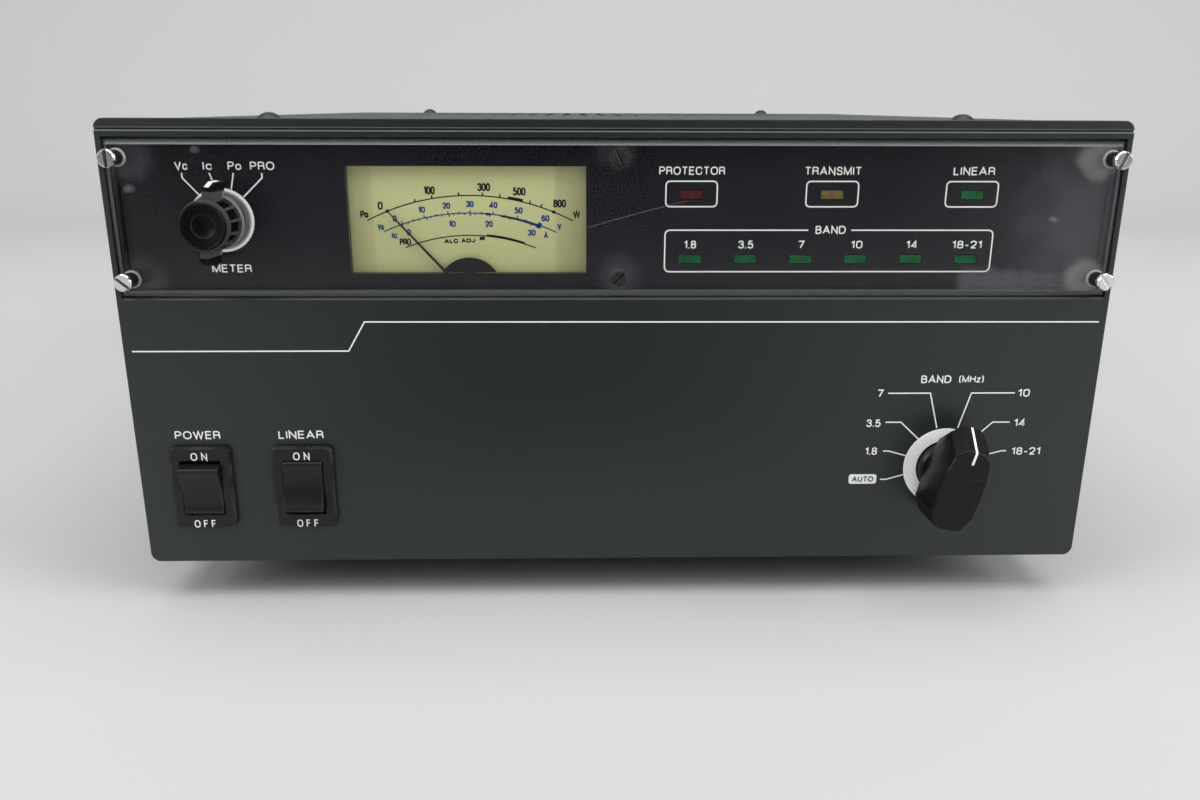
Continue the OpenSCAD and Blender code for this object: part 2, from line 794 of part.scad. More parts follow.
// Needle, coil frame and pivot; at rest the needle points to the left zero
module meter_needle() {
  in_cabinet() translate([-meter_x, 0, pivot_z]) rotate([0, -needle_sweep / 2, 0]) color([0.1, 0.1, 0.1]) {
    translate([0, needle_y, 0]) {
      rotate([90, 0, 0]) linear_extrude(needle_t) polygon([
        [-needle_w, 0], [needle_w, 0], [needle_w / 2, needle_l - 4], [0.1, needle_l],
        [-0.1, needle_l], [-needle_w / 2, needle_l - 4]
      ]);
      rotate([90, 0, 0]) linear_extrude(needle_t) translate([-1.2, -6]) square([2.4, 6]);
      translate([0, -needle_t, 0]) rod_y(2, 0, needle_t);
    }
    rod_y(0.7, needle_y - 0.6, core_y - needle_y + 0.4);
    difference() {
      union() {
        translate([-7, needle_y, -1.5]) cube([14, coil_l, 3]);
        rod_y(2.6, needle_y + coil_l - 1.2, 1.2);
      }
      translate([-5.4, needle_y + 1, -3]) cube([10.8, coil_l - 2.2, 6]);
      rod_y(1.4, needle_y + 2, coil_l);
    }
  }
}

module meter_lamps() {
  bulb_l = 10;
  bulb_in = 8;
  in_cabinet() at_meter() color([0.9, 0.88, 0.8]) for (x = [-1, 1])
    translate([x * bulb_x, recess_back + meter_case_d - bulb_in, 6]) {
      rod_y(bulb_r, 0, bulb_l);
      sphere(r = bulb_r);
    }
}

// ---------- Indicators ----------

module led_board() {
  in_cabinet() color(board_green) difference() {
    plate_y(led_board_y, board_t) translate([led_x - 8, window_bottom + 5])
      square([5 * led_pitch + 16, window_h - 10]);
    for (x = [0, 5]) translate([led_x + x * led_pitch, 0, window_bottom + window_h / 2])
      rod_y(small_screw_r, led_board_y - 1, board_t + 2);
  }
}

module led(column, up) {
  led_places([column], up) {
    square([led_w, led_h], center = true);
  }
}

module led_body(column, up) {
  plate_y(display_d + 0.05, led_board_y - display_d - 0.05) led(column, up);
  plate_y(led_board_y - 1.5, 1.5) led_places([column], up) square([led_w + 1.4, led_h + 1.4], center = true);
}

module protector_led() {
  in_cabinet() color([0.55, 0.12, 0.12]) led_body(status_columns[0], status_led_up);
}

module transmit_led() {
  in_cabinet() color([0.7, 0.6, 0.3]) led_body(status_columns[1], status_led_up);
}

module linear_led() {
  in_cabinet() color([0.1, 0.45, 0.25]) led_body(status_columns[2], status_led_up);
}

module band_leds() {
  in_cabinet() color([0.1, 0.45, 0.25]) for (i = [0:5]) led_body(i, band_led_up);
}

// ---------- Selectors ----------

module at_meter_sel() {
  translate([meter_sel_x, 0, meter_sel_z]) children();
}

module at_band_sel() {
  translate([band_x, 0, band_up]) children();
}

module dial_ring(inner, outer, y) {
  difference() {
    rod_y(outer, y - ring_t, ring_t);
    rod_y(inner, y - 1, 2);
  }
}

module meter_dial_ring() {
  in_cabinet() at_meter_sel() color("white") dial_ring(meter_ring_in, meter_ring_out, display_d);
}

module band_dial_ring() {
  in_cabinet() at_band_sel() color("white") dial_ring(band_ring_in, band_ring_out, 0);
}

// Round knob: fluted barrel that narrows to a dished cap, and a pointer fin
module meter_knob() {
  reach = meter_knob_l;
  base = knob_lift;
  cap = reach - 3;
  flute_l = cap - base - 2.2;
  barrel_r = meter_knob_r - 0.4;
  in_cabinet() at_meter_sel() color(near_black) difference() {
    union() {
      turned([
        [0, base], [meter_knob_r, base], [meter_knob_r, base + 1.2], [barrel_r, base + 1.6],
        [meter_cap_r - 0.3, cap - 0.2], [meter_cap_r, cap], [meter_cap_r, cap + 1],
        [meter_cap_r - 0.35, cap + 1.15], [meter_cap_r - 0.3, cap + 1.9],
        [meter_cap_r - 0.9, reach], [0, reach]
      ]);
      for (a = [meter_knob_angle, meter_knob_angle + 180]) rotate([0, -a, 0]) pointer_fin();
    }
    // flutes, left out where the fins stand
    for (i = [0:meter_flutes - 1])
      if (i % (meter_flutes / 2) != 0)
        rotate([0, -meter_knob_angle - i * 360 / meter_flutes, 0])
          translate([meter_cap_r - 1.1, -base - 1.8 - flute_l, -1.5])
            cube([4, flute_l, 3]);
    // dished face with a cupped centre
    turned([
      [0, reach - 0.9], [3.4, reach - 0.9], [meter_cap_r - 1.1, reach - 0.1],
      [meter_cap_r - 1.1, reach + 1], [0, reach + 1]
    ]);
    translate([0, -reach - 4.2, 0]) sphere(r = 6.2);
    // cavity over the nut and the shaft's bore
    turned([[0, base - 1], [nut_flats / 2 + 1.1, base - 1], [nut_flats / 2 + 1.1, base + 0.8], [0, base + 0.8]]);
    rod_y(shaft_r + shaft_play, -reach + 3.2, reach);
  }
}

module pointer_fin() {
  root_w = 3.8;
  front_w = 2.4;
  drop = 1.2;
  intersection() {
    linear_extrude(12, center = true) polygon([
      [4, -knob_lift], [meter_fin_r, -knob_lift], [meter_fin_r, -7], [meter_fin_r - drop, -10.3], [4, -10.3]
    ]);
    rotate([0, 90, 0]) linear_extrude(20) polygon([
      [-root_w / 2, -knob_lift], [root_w / 2, -knob_lift], [front_w / 2, -10.4], [-front_w / 2, -10.4]
    ]);
  }
}

// Outline of the bar knob at one height, pointer to the right
function bar_outline(tip, tail, half) = [
  [tip, half * 0.4], [tip - 2.8, half * 0.84], [half * 0.5, half * 0.98], [-half * 0.6, half],
  [-tail + 5, half * 0.97], [-tail + 0.6, half * 0.6], [-tail, half * 0.35],
  [-tail, -half * 0.35], [-tail + 0.6, -half * 0.6], [-tail + 5, -half * 0.97],
  [-half * 0.6, -half], [half * 0.5, -half * 0.98], [tip - 2.8, -half * 0.84], [tip, -half * 0.4]
];

module bar_slice(reach, tip, tail, half) {
  translate([0, -reach, 0]) rotate([90, 0, 0]) linear_extrude(0.01) polygon(bar_outline(tip, tail, half));
}

// Faceted bar knob on a round base; its pointer end slopes back to a tip
module band_knob() {
  skirt = 3.2;
  tip_reach = band_knob_l / 2;
  in_cabinet() at_band_sel() color(near_black) rotate([0, -band_knob_angle, 0]) difference() {
    union() {
      hull() {
        bar_slice(skirt, band_pointer_l - 4.5, band_tail_l + 0.3, band_half_w);
        bar_slice(tip_reach, band_pointer_l, band_tail_l + 0.2, band_half_w + 0.1);
        bar_slice(band_knob_l - 0.4, band_pointer_l - 5.2, band_tail_l, band_half_w - 0.1);
        bar_slice(band_knob_l - 0.01, band_pointer_l - 5.6, band_tail_l - 0.4, band_half_w - 0.5);
      }
      turned([[0, knob_lift], [band_base_r, knob_lift], [band_base_r, skirt - 0.8],
        [band_base_r - 0.8, skirt + 0.2], [0, skirt + 0.2]]);
    }
    turned([[0, 0], [nut_flats / 2 + 1.1, 0], [nut_flats / 2 + 1.1, nut_t + 0.6], [0, nut_t + 0.6]]);
    rod_y(shaft_r + shaft_play, -band_knob_l + 3, band_knob_l);
  }
}

// Fixed part of a rotary switch, bushing to the front; its back plate lies at y0
module rotary_stator(y0, bushing_reach, wafers) {
  post_x = wafer_r - 2;
  color([0.72, 0.66, 0.5]) difference() {
    union() {
      rod_y(bushing_r, -bushing_reach, y0 + bushing_reach);
      rod_y(wafer_r, y0, 2.4);
      for (i = [1:wafers]) rod_y(wafer_r, y0 + i * wafer_pitch, wafer_t);
      for (x = [-1, 1]) translate([x * post_x, 0, 0]) rod_y(1.3, y0, wafers * wafer_pitch + 4);
      // contact tags round each wafer
      for (i = [1:wafers], a = [0:detents - 1]) rotate([0, a * 360 / detents + 15, 0])
        translate([wafer_r - 1, y0 + i * wafer_pitch + 0.4, -0.8]) cube([4, 0.8, 1.6]);
    }
    rod_y(shaft_r + shaft_play, -bushing_reach - 1, y0 + bushing_reach + 3.4);
    for (i = [1:wafers]) rod_y(wafer_r / 2 + slip, y0 + i * wafer_pitch - 1, wafer_t + 2);
  }
}

// Shaft with its wafer rotors; the front end is flatted for the knob
module rotary_rotor(y0, shaft_reach, wafers) {
  color(silver) difference() {
    union() {
      rod_y(shaft_r, -shaft_reach, y0 + shaft_reach + 3);
      rod_y(2, y0, wafers * wafer_pitch + 3);
      for (i = [1:wafers]) difference() {
        rod_y(wafer_r / 2, y0 + i * wafer_pitch, wafer_t);
        for (a = [30, 150, 270]) rotate([0, a, 0]) translate([wafer_r / 2, 0, 0])
          rod_y(1.6, y0 + i * wafer_pitch - 1, wafer_t + 2);
      }
    }
    translate([-shaft_r, -shaft_reach - 1, shaft_r - 0.8]) cube([2 * shaft_r, 7, 2]);
  }
}

meter_wafers = 1;
band_wafers = 2;

module meter_switch_body() {
  in_cabinet() at_meter_sel() rotary_stator(recess_back + slip, 1 - display_d + 2.2, meter_wafers);
}

module meter_switch_rotor() {
  in_cabinet() at_meter_sel() rotary_rotor(recess_back + slip, meter_knob_l - 3.5, meter_wafers);
}

module band_switch_body() {
  in_cabinet() at_band_sel() rotary_stator(panel_t + slip, nut_t + 0.4, band_wafers);
}

module band_switch_rotor() {
  in_cabinet() at_band_sel() rotary_rotor(panel_t + slip, band_knob_l - 3.4, band_wafers);
}

module bushing_nut(y) {
  difference() {
    translate([0, y, 0]) rotate([90, 0, 0]) cylinder(r = nut_flats / 2 / cos(30), h = nut_t, $fn = 6);
    rod_y(bushing_r + shaft_play, y - nut_t - 1, nut_t + 2);
  }
}

module switch_nuts() {
  in_cabinet() color(silver) {
    at_meter_sel() bushing_nut(display_d);
    at_band_sel() bushing_nut(0);
  }
}

// ---------- Rocker switches ----------

module switch_housing(x) {
  in_cabinet() translate([x, 0, switch_up]) color(near_black) difference() {
    union() {
      // bezel with a stepped, rounded edge
      plate_y(-bezel_d + 0.6, bezel_d - 0.6) round_rect(bezel_w, bezel_h, bezel_r);
      plate_y(-bezel_d, 1) round_rect(bezel_w - 1, bezel_h - 1, bezel_r - 0.4);
      plate_y(-0.5, switch_body_d) square([body_w, body_h], center = true);
      // spring wings that hold the body behind the panel
      for (x = [-1, 1]) translate([x * (body_w / 2 + 0.6), panel_t + 3, 0]) cube([1.6, 6, 8], center = true);
    }
    plate_y(-bezel_d - 1, 14) square([well_w, well_h], center = true);
    rotate([0, 90, 0]) translate([0, pivot_y, 0])
      cylinder(r = trunnion_r + 0.04, h = rocker_w + 2 * trunnion_l + 2 * 0.2, center = true);
    for (z = [-7, 0, 7]) plate_y(switch_body_d - 5, 8) translate([0, z]) square([5, 1.2], center = true);
  }
}

// Rocker in its middle position: a bar with a hollowed face and rounded ends
module rocker_body() {
  face_y = -bezel_d - 2;
  hollow_r = 16;
  hollow = 1.5;
  rotate([0, 90, 0]) translate([0, pivot_y, 0])
    cylinder(r = trunnion_r, h = rocker_w + 2 * trunnion_l, center = true);
  difference() {
    union() {
      translate([-rocker_w / 2, 0, 0]) rotate([90, 0, 90]) linear_extrude(rocker_w) difference() {
        union() {
          translate([face_y + 1, -rocker_h / 2]) square([pivot_y - face_y, rocker_h]);
          for (z = [-1, 1]) translate([face_y + 1, z * (rocker_h / 2 - 1)]) circle(r = 1);
          translate([face_y, -rocker_h / 2 + 1]) square([2, rocker_h - 2]);
          translate([pivot_y, 0]) circle(r = rocker_h / 2 - 2);
        }
        translate([face_y + hollow - hollow_r, 0]) circle(r = hollow_r, $fn = fine);
      }
      translate([-2, 4, -1.5]) cube([4, 6.4, 3]);
    }
  }
}

module rocker(x, tilt) {
  in_cabinet() translate([x, pivot_y, switch_up]) rotate([tilt, 0, 0]) translate([0, -pivot_y, 0])
    color(near_black) rocker_body();
}

module power_switch_housing() {
  switch_housing(switch_x[0]);
}

module power_rocker() {
  rocker(switch_x[0], rocker_tilt);
}

module linear_switch_housing() {
  switch_housing(switch_x[1]);
}

module linear_rocker() {
  rocker(switch_x[1], -rocker_tilt);
}

module switch_terminals() {
  in_cabinet() color([0.8, 0.65, 0.35]) for (x = switch_x, z = [-7, 0, 7])
    translate([x, 0, switch_up + z]) difference() {
      translate([-2.4, switch_body_d - 5, -0.4]) cube([4.8, 13, 0.8]);
      translate([0, switch_body_d + 5, 0]) cylinder(r = 0.9, h = 4, center = true);
    }
}

// ---------- Cabinet ----------

module chassis() {
  wall_l = rear_y - chassis_front;
  in_cabinet() color([0.75, 0.76, 0.77]) difference() {
    union() {
      translate([-chassis_x, chassis_front, chassis_bottom]) cube([2 * chassis_x, wall_l, chassis_t]);
      for (x = [-1, 1]) {
        translate([x * (chassis_x - chassis_t / 2), chassis_front + wall_l / 2, (chassis_bottom + chassis_top) / 2])
          cube([chassis_t, wall_l, chassis_top - chassis_bottom], center = true);
        // flanges behind the front panel and before the rear panel
        for (y = [chassis_front, rear_y - chassis_t])
          translate([x * (chassis_x - flange_w / 2), y + chassis_t / 2, (chassis_bottom + chassis_top) / 2])
            cube([flange_w, chassis_t, chassis_top - chassis_bottom], center = true);
      }
      for (y = [chassis_front, rear_y - rail_d])
        translate([-chassis_x, y, chassis_top - chassis_t]) cube([2 * chassis_x, rail_d, chassis_t]);
    }
    for (x = [-1, 1]) {
      for (y = [top_screw_front, cabinet_d - top_screw_rear]) translate([x * top_screw_x, y, 0])
        cylinder(r = screw_r + slip, h = panel_h);
      for (y = [foot_front, cabinet_d - foot_rear]) translate([x * (cover_x - foot_in), y, -1])
        cylinder(r = screw_r + slip, h = 10);
      for (z = [post_low, seam_up]) translate([x * flange_screw_x, 0, z])
        rod_y(small_screw_r + slip, chassis_front - 1, chassis_t + 2);
      for (z = [12, chassis_top - 12]) translate([x * flange_screw_x, 0, z])
        rod_y(small_screw_r + slip, rear_y - chassis_t - 1, chassis_t + 2);
      // air ways in the walls
      for (i = [-side_vent_n:side_vent_n]) translate([x * chassis_x, vent_y + i * vent_pitch, sink_top + fin_h / 2])
        rotate([90, 0, 90]) linear_extrude(8, center = true) rotate(90) slot(side_vent_l, vent_w);
    }
    // long edges cleared for the bends of the covers
    for (x = [-chassis_x, chassis_x], z = [chassis_bottom, chassis_top]) translate([x, cabinet_d / 2, z])
      rotate([0, 45, 0]) cube([edge_relief, cabinet_d, edge_relief], center = true);
    for (i = [-vent_n:vent_n]) translate([i * vent_pitch, vent_y, chassis_bottom - 1])
      linear_extrude(chassis_t + 2) rotate(90) slot(vent_l * 1.6, vent_w);
  }
}

module shield_plate() {
  in_cabinet() color([0.78, 0.78, 0.8]) difference() {
    translate([-chassis_x + chassis_t + slip, shield_y, floor_z])
      cube([2 * (chassis_x - chassis_t - slip), shield_t, chassis_top - floor_z - chassis_t - 4]);
    for (x = [-1, 1]) translate([x * 124, 0, floor_z + 14]) rod_y(7, shield_y - 1, shield_t + 2);
    for (x = [-1, 1], z = [0, 1])
      translate([x * (control_w / 2 - 6), 0, control_z - control_h / 2 + 6 + z * (control_h - 12)])
        rod_y(small_screw_r, shield_y - 1, shield_t + 2);
  }
}

// U-shaped cover with rounded bends; z runs away from its plate
module cover_shell(height) {
  l = cabinet_d - cover_front;
  translate([0, cover_front + l, 0]) rotate([90, 0, 0]) linear_extrude(l) difference() {
    union() {
      translate([-cover_x, 0]) square([2 * cover_x, height - cover_bend_r]);
      translate([-cover_x + cover_bend_r, 0]) square([2 * (cover_x - cover_bend_r), height]);
      for (x = [-1, 1]) translate([x * (cover_x - cover_bend_r), height - cover_bend_r])
        circle(r = cover_bend_r);
    }
    translate([-cover_x + cover_t, -1])
      square([2 * (cover_x - cover_t), height - cover_bend_r + 1]);
    translate([-cover_x + cover_bend_r, -1])
      square([2 * (cover_x - cover_bend_r), height - cover_t + 1]);
    for (x = [-1, 1]) translate([x * (cover_x - cover_bend_r), height - cover_bend_r])
      circle(r = cover_bend_r - cover_t);
  }
}

module side_vents() {
  for (x = [-1, 1], i = [-side_vent_n:side_vent_n]) translate([x * cover_x, vent_y + i * vent_pitch, sink_top + fin_h / 2])
    rotate([90, 0, 90]) linear_extrude(8, center = true) rotate(90) slot(side_vent_l, vent_w);
}

module top_cover() {
  in_cabinet() color(cabinet_green) difference() {
    translate([0, 0, seam_up + slip]) cover_shell(cover_top - seam_up - slip);
    for (x = [-1, 1], y = [top_screw_front, cabinet_d - top_screw_rear])
      translate([x * top_screw_x, y, panel_h - 10]) cylinder(r = screw_r + slip, h = 20);
    for (i = [-10:10], row = [-1, 1])
      translate([i * vent_pitch, vent_y + row * (vent_l / 2 + 5), panel_h - 5])
        linear_extrude(10) rotate(90) slot(vent_l, vent_w);
    side_vents();
  }
}

module bottom_cover() {
  in_cabinet() color(cabinet_green) difference() {
    translate([0, 0, cover_step + seam_up]) translate([0, 0, 0]) mirror([0, 0, 1])
      translate([0, 0, cover_step]) cover_shell(seam_up - cover_step);
    for (x = [-1, 1], y = [foot_front, cabinet_d - foot_rear])
      translate([x * (cover_x - foot_in), y, -1]) cylinder(r = screw_r + slip, h = 10);
    for (i = [-10:10], row = [-1, 1])
      translate([i * vent_pitch, vent_y + row * (vent_l / 2 + 5), -1])
        linear_extrude(10) rotate(90) slot(vent_l, vent_w);
  }
}

module rear_panel() {
  in_cabinet() color([0.62, 0.63, 0.64]) difference() {
    plate_y(rear_y, rear_t) translate([-chassis_x, chassis_bottom])
      square([2 * chassis_x, chassis_top - chassis_bottom]);
    for (x = [-1, 1]) {
      translate([x * fan_x, 0, fan_z]) {
        rod_y(fan_bore_r, rear_y - 1, rear_t + 2);
        plate_y(rear_y - 1, rear_t + 2) at_corners(fan_screw, fan_screw) circle(r = screw_r + slip);
      }
      for (z = [12, chassis_top - 12]) translate([x * flange_screw_x, 0, z])
        rod_y(small_screw_r + slip, rear_y - 1, rear_t + 2);
    }
    for (z = [antenna_z, input_z]) translate([coax_x, 0, z]) {
      rod_y(coax_r + 0.3, rear_y - 1, rear_t + 2);
      plate_y(rear_y - 1, rear_t + 2) at_corners(coax_flange / 2 - 3.6, coax_flange / 2 - 3.6)
        circle(r = small_screw_r);
    }
    for (i = [0:1]) translate([coax_x - 10 - i * jack_pitch, 0, jack_z]) rod_y(3.3, rear_y - 1, rear_t + 2);
    translate([0, 0, jack_z]) rod_y(acc_r - 1.2, rear_y - 1, rear_t + 2);
    translate([ground_x, 0, jack_z]) rod_y(ground_r + slip, rear_y - 1, rear_t + 2);
    plate_y(rear_y - 1, rear_t + 2) translate([-coax_x, power_z])
      square([power_w - 6 + 2 * slip, power_h - 6 + 2 * slip], center = true);
  }
}

module cabinet_screws() {
  in_cabinet() color(near_black) {
    for (x = [-1, 1]) {
      for (y = [top_screw_front, cabinet_d - top_screw_rear]) translate([x * top_screw_x, y, cover_top])
        truss_screw(screw_head_r, screw_head_h, screw_r, 6);
      for (z = [12, chassis_top - 12]) translate([x * flange_screw_x, cabinet_d, z])
        rotate([-90, 0, 0]) truss_screw(small_head_r, 1.6, small_screw_r, rear_t + chassis_t + 1);
      for (z = [post_low, seam_up]) translate([x * flange_screw_x, chassis_front + chassis_t, z])
        rotate([-90, 0, 0]) truss_screw(small_head_r, 1.6, small_screw_r - 0.05, chassis_t + 3);
    }
  }
}

module feet() {
  in_cabinet() color([0.1, 0.1, 0.1]) for (x = [-1, 1], y = [foot_front, cabinet_d - foot_rear])
    translate([x * (cover_x - foot_in), y, -foot_h]) rotate_extrude($fn = fine) polygon([
      [4.5, 0], [foot_tip_r - 1, 0], [foot_tip_r, 1], [foot_r, foot_h + cover_step],
      [screw_r + slip, foot_h + cover_step], [screw_r + slip, foot_h - 4], [4.5, foot_h - 4]
    ]);
}

// ---------- Boards and parts inside ----------

module control_board() {
  in_cabinet() color(board_green) {
    difference() {
      plate_y(control_y - board_t, board_t) translate([0, control_z]) square([control_w, control_h], center = true);
      for (x = [-1, 1], z = [-1, 1]) translate([x * (control_w / 2 - 6), 0, control_z + z * (control_h / 2 - 6)])
        rod_y(small_screw_r, control_y - 5, 10);
    }
    // logic packages and trimmers on its front
    pack = [18, 3.4, 7];
    for (i = [0:4], j = [0, 1]) translate([-56 + i * 26, control_y - board_t - pack[1], control_z - 18 + j * 26])
      cube(pack);
  }
}

module filter_board() {
  in_cabinet() color(board_green) {
    difference() {
      translate([-filter_w / 2, filter_y, filter_z]) cube([filter_w, filter_l, board_t]);
      for (x = [-1, 0, 1], y = [5, filter_l - 5]) translate([x * (filter_w / 2 - 5), filter_y + y, filter_z - 1])
        cylinder(r = small_screw_r, h = 5);
    }
    // mica capacitors between the coils
    for (i = [0:band_filters - 1]) translate([-filter_w / 2 + (i + 0.5) * filter_pitch - 4, filter_y + filter_l / 2 - 4, filter_z + board_t])
      cube([8, 8, 10]);
  }
}

module filter_coils() {
  in_cabinet() color([0.72, 0.3, 0.15]) for (i = [0:band_filters - 1], row = [-1, 1])
    translate([-filter_w / 2 + (i + 0.5) * filter_pitch, filter_y + filter_l / 2 + row * (coil_r + 6), filter_z + board_t])
      rotate_extrude() translate([coil_r - coil_ring, 0]) round_band(coil_ring, coil_t);
}

module round_band(w, h) {
  translate([w / 2, h / 2]) round_rect(w, h, 1.2);
}

module filter_relays() {
  in_cabinet() color([0.85, 0.83, 0.75]) for (i = [0:band_filters - 1])
    translate([-filter_w / 2 + (i + 0.5) * filter_pitch - coil_r - relay_w + 0.5, filter_y + filter_l / 2 - relay_l / 2, filter_z + board_t])
      cube([relay_w, relay_l, relay_h]);
}

module board_standoffs() {
  in_cabinet() color([0.8, 0.7, 0.4]) {
    for (x = [-1, 0, 1], y = [5, filter_l - 5]) translate([x * (filter_w / 2 - 5), filter_y + y, floor_z])
      cylinder(r = 3, h = filter_off, $fn = 6);
    for (x = [-1, 1], z = [-1, 1]) translate([x * (control_w / 2 - 6), 0, control_z + z * (control_h / 2 - 6)])
      rod_y(3, control_y, control_off);
    for (x = [0, 5]) translate([led_x + x * led_pitch, 0, window_bottom + window_h / 2])
      rod_y(2.5, recess_back, led_l);
    for (x = [-1, 1], sx = [-1, 1], y = [-1, 1])
      translate([x * pa_x + sx * (pa_w / 2 - 4), sink_y + sink_l / 2 + y * (pa_l / 2 - 4), pa_top])
        cylinder(r = 3, h = pa_gap, $fn = 6);
  }
}

module heat_sink() {
  fins = floor((sink_w - fin_root_t) / fin_pitch);
  in_cabinet() color(silver) translate([0, sink_y + sink_l, sink_z]) rotate([90, 0, 0]) linear_extrude(sink_l)
    union() {
      translate([-sink_w / 2, 0]) square([sink_w, sink_base_t]);
      for (i = [0:fins]) translate([(i - fins / 2) * fin_pitch, sink_base_t - 0.01]) polygon([
        [-fin_root_t / 2, 0], [fin_root_t / 2, 0], [fin_tip_t / 2, fin_h], [-fin_tip_t / 2, fin_h]
      ]);
    }
}

module heat_sink_brackets() {
  in_cabinet() color([0.7, 0.7, 0.72]) for (x = [-1, 1]) {
    translate([x * (sink_w / 2 - bracket_t / 2), sink_y + sink_l / 2, floor_z + sink_up / 2])
      cube([bracket_t, sink_l, sink_up], center = true);
    translate([x * (sink_w / 2 - 6), sink_y + sink_l / 2, floor_z + bracket_t / 2])
      cube([12, sink_l, bracket_t], center = true);
  }
}

module device_places() {
  for (x = [-1, 1], i = [0:pa_devices - 1])
    translate([x * pa_x, sink_y + (i + 0.5) * sink_l / pa_devices, 0]) children();
}

module pa_boards() {
  in_cabinet() color(board_green) difference() {
    for (x = [-1, 1]) translate([x * pa_x - pa_w / 2, sink_y + (sink_l - pa_l) / 2, pa_top - board_t])
      cube([pa_w, pa_l, board_t]);
    device_places() translate([-flange_l / 2 - 1, -6, pa_top - board_t - 1]) cube([flange_l + 2, 12, board_t + 2]);
  }
}

module pa_transistors() {
  lead_w = 5.6;
  in_cabinet() color([0.85, 0.8, 0.65]) device_places() difference() {
    union() {
      translate([-flange_l / 2, -3.2, sink_z - 2]) cube([flange_l, 6.4, 2]);
      translate([0, 0, pa_top - board_t - 1]) cylinder(r = 5, h = pa_gap + board_t);
      for (a = [0, 90]) rotate(a) translate([-10, -lead_w / 2, pa_top - 0.01]) cube([20, lead_w, 0.31]);
    }
    for (x = [-1, 1]) translate([x * (flange_l / 2 - 3), 0, sink_z - 3]) cylinder(r = 1.6, h = 4);
  }
}

module pa_transformers() {
  core_r = 6.5;
  core_l = 28;
  in_cabinet() color([0.25, 0.24, 0.24]) for (x = [-1, 1], i = [0:pa_devices / 2 - 1])
    translate([x * pa_x, sink_y + (2 * i + 1) * sink_l / pa_devices, pa_top - board_t - core_r])
      for (sx = [-1, 1]) translate([sx * (core_r + 14), 0, 0]) rotate([90, 0, 0]) difference() {
        cylinder(r = core_r, h = core_l, center = true);
        cylinder(r = core_r / 2, h = core_l + 2, center = true);
      }
}

module reservoir_capacitors() {
  in_cabinet() color([0.15, 0.2, 0.4]) for (i = [0:2]) translate([-coax_x, can_front + i * can_pitch, floor_z]) {
    cylinder(r = can_r, h = can_h - 1);
    translate([0, 0, can_h - 1]) cylinder(r1 = can_r, r2 = can_r - 1, h = 1);
    for (x = [-1, 1]) translate([x * lead_gap, 0, can_h - 0.01]) cylinder(r = 2.5, h = 3.01);
  }
}

// ---------- Fans ----------

module fan_frame(x) {
  in_cabinet() translate([x, 0, fan_z]) color(near_black) {
    difference() {
      union() {
        for (y = [fan_y, rear_y - 4]) plate_y(y, 4) round_rect(fan_w, fan_w, 4);
        rod_y(fan_bore_r + 1.8, fan_y, fan_d);
      }
      rod_y(fan_bore_r, fan_y - 1, fan_d + 2);
      plate_y(fan_y - 1, fan_d + 2) at_corners(fan_screw, fan_screw) circle(r = screw_r + slip);
    }
    difference() {
      union() {
        rod_y(fan_hub_r, rear_y - 4, 4);
        for (a = [45, 165, 285]) rotate([0, a, 0]) translate([0, rear_y - 3.5, -2]) cube([fan_bore_r + 0.5, 3, 4]);
        rod_y(fan_shaft_r + 2.5, fan_y + 6, fan_d - 8);
      }
      rod_y(fan_shaft_r + shaft_play, fan_y + 5, fan_d - 7);
    }
  }
}

// Points of one blade section at radius r: leading edge, crest and trailing edge,
// first on the front side and then on the back
function blade_section(r) =
  let (
    share = (r - fan_hub_r) / (fan_blade_r - fan_hub_r),
    pitch = blade_root_angle + (blade_tip_angle - blade_root_angle) * share,
    chord = 16 + 9 * share,
    lean = blade_sweep * share,
    crest = 1.6,
    side = [[-0.5, 0], [-0.2, crest], [0.15, crest], [0.5, 0]],
    under = [[0.5, -blade_t * 0.3], [0.15, crest - blade_t], [-0.2, crest - blade_t], [-0.5, -blade_t * 0.3]]
  )
  [for (p = concat(side, under))
    let (
      u = p[0] * chord * cos(pitch) - p[1] * sin(pitch),
      v = p[0] * chord * sin(pitch) + p[1] * cos(pitch),
      a = lean + u / r * 180 / PI
    )
    [r * cos(a), v, r * sin(a)]];

// Solid through a list of sections with equally many points; the two ends are
// cut into triangles across the section, as they aren't flat
module loft(sections) {
  n = len(sections[0]);
  m = len(sections);
  last = (m - 1) * n;
  walls = [for (i = [0:m - 2], j = [0:n - 1], half = [0, 1])
    let (a = i * n + j, b = i * n + (j + 1) % n, c = a + n, d = b + n)
    half == 0 ? [a, d, b] : [a, c, d]];
  cap = [for (i = [0:n / 2 - 2], half = [0, 1])
    half == 0 ? [i, i + 1, n - 2 - i] : [i, n - 2 - i, n - 1 - i]];
  polyhedron(
    points = [for (s = sections, p = s) p],
    faces = concat(walls, cap, [for (t = cap) [last + t[0], last + t[2], last + t[1]]])
  );
}

module fan_rotor(x) {
  hub_back = fan_d - 6;
  in_cabinet() translate([x, 0, fan_z]) color([0.12, 0.12, 0.13]) {
    difference() {
      rod_y(fan_hub_r, fan_y + 2, hub_back - 2);
      rod_y(fan_hub_r - 1.6, fan_y + 4, hub_back);
    }
    rod_y(fan_shaft_r, fan_y + 3, fan_d - 6);
    for (b = [0:fan_blades - 1]) rotate([0, b * 360 / fan_blades, 0]) translate([0, fan_y + fan_d / 2 - 2, 0])
      loft([for (k = [0:4]) blade_section(fan_hub_r - 0.8 + k * (fan_blade_r - fan_hub_r + 0.8) / 4)]);
  }
}

module left_fan_frame() {
  fan_frame(-fan_x);
}

module right_fan_frame() {
  fan_frame(fan_x);
}

module left_fan_rotor() {
  fan_rotor(-fan_x);
}

module right_fan_rotor() {
  fan_rotor(fan_x);
}

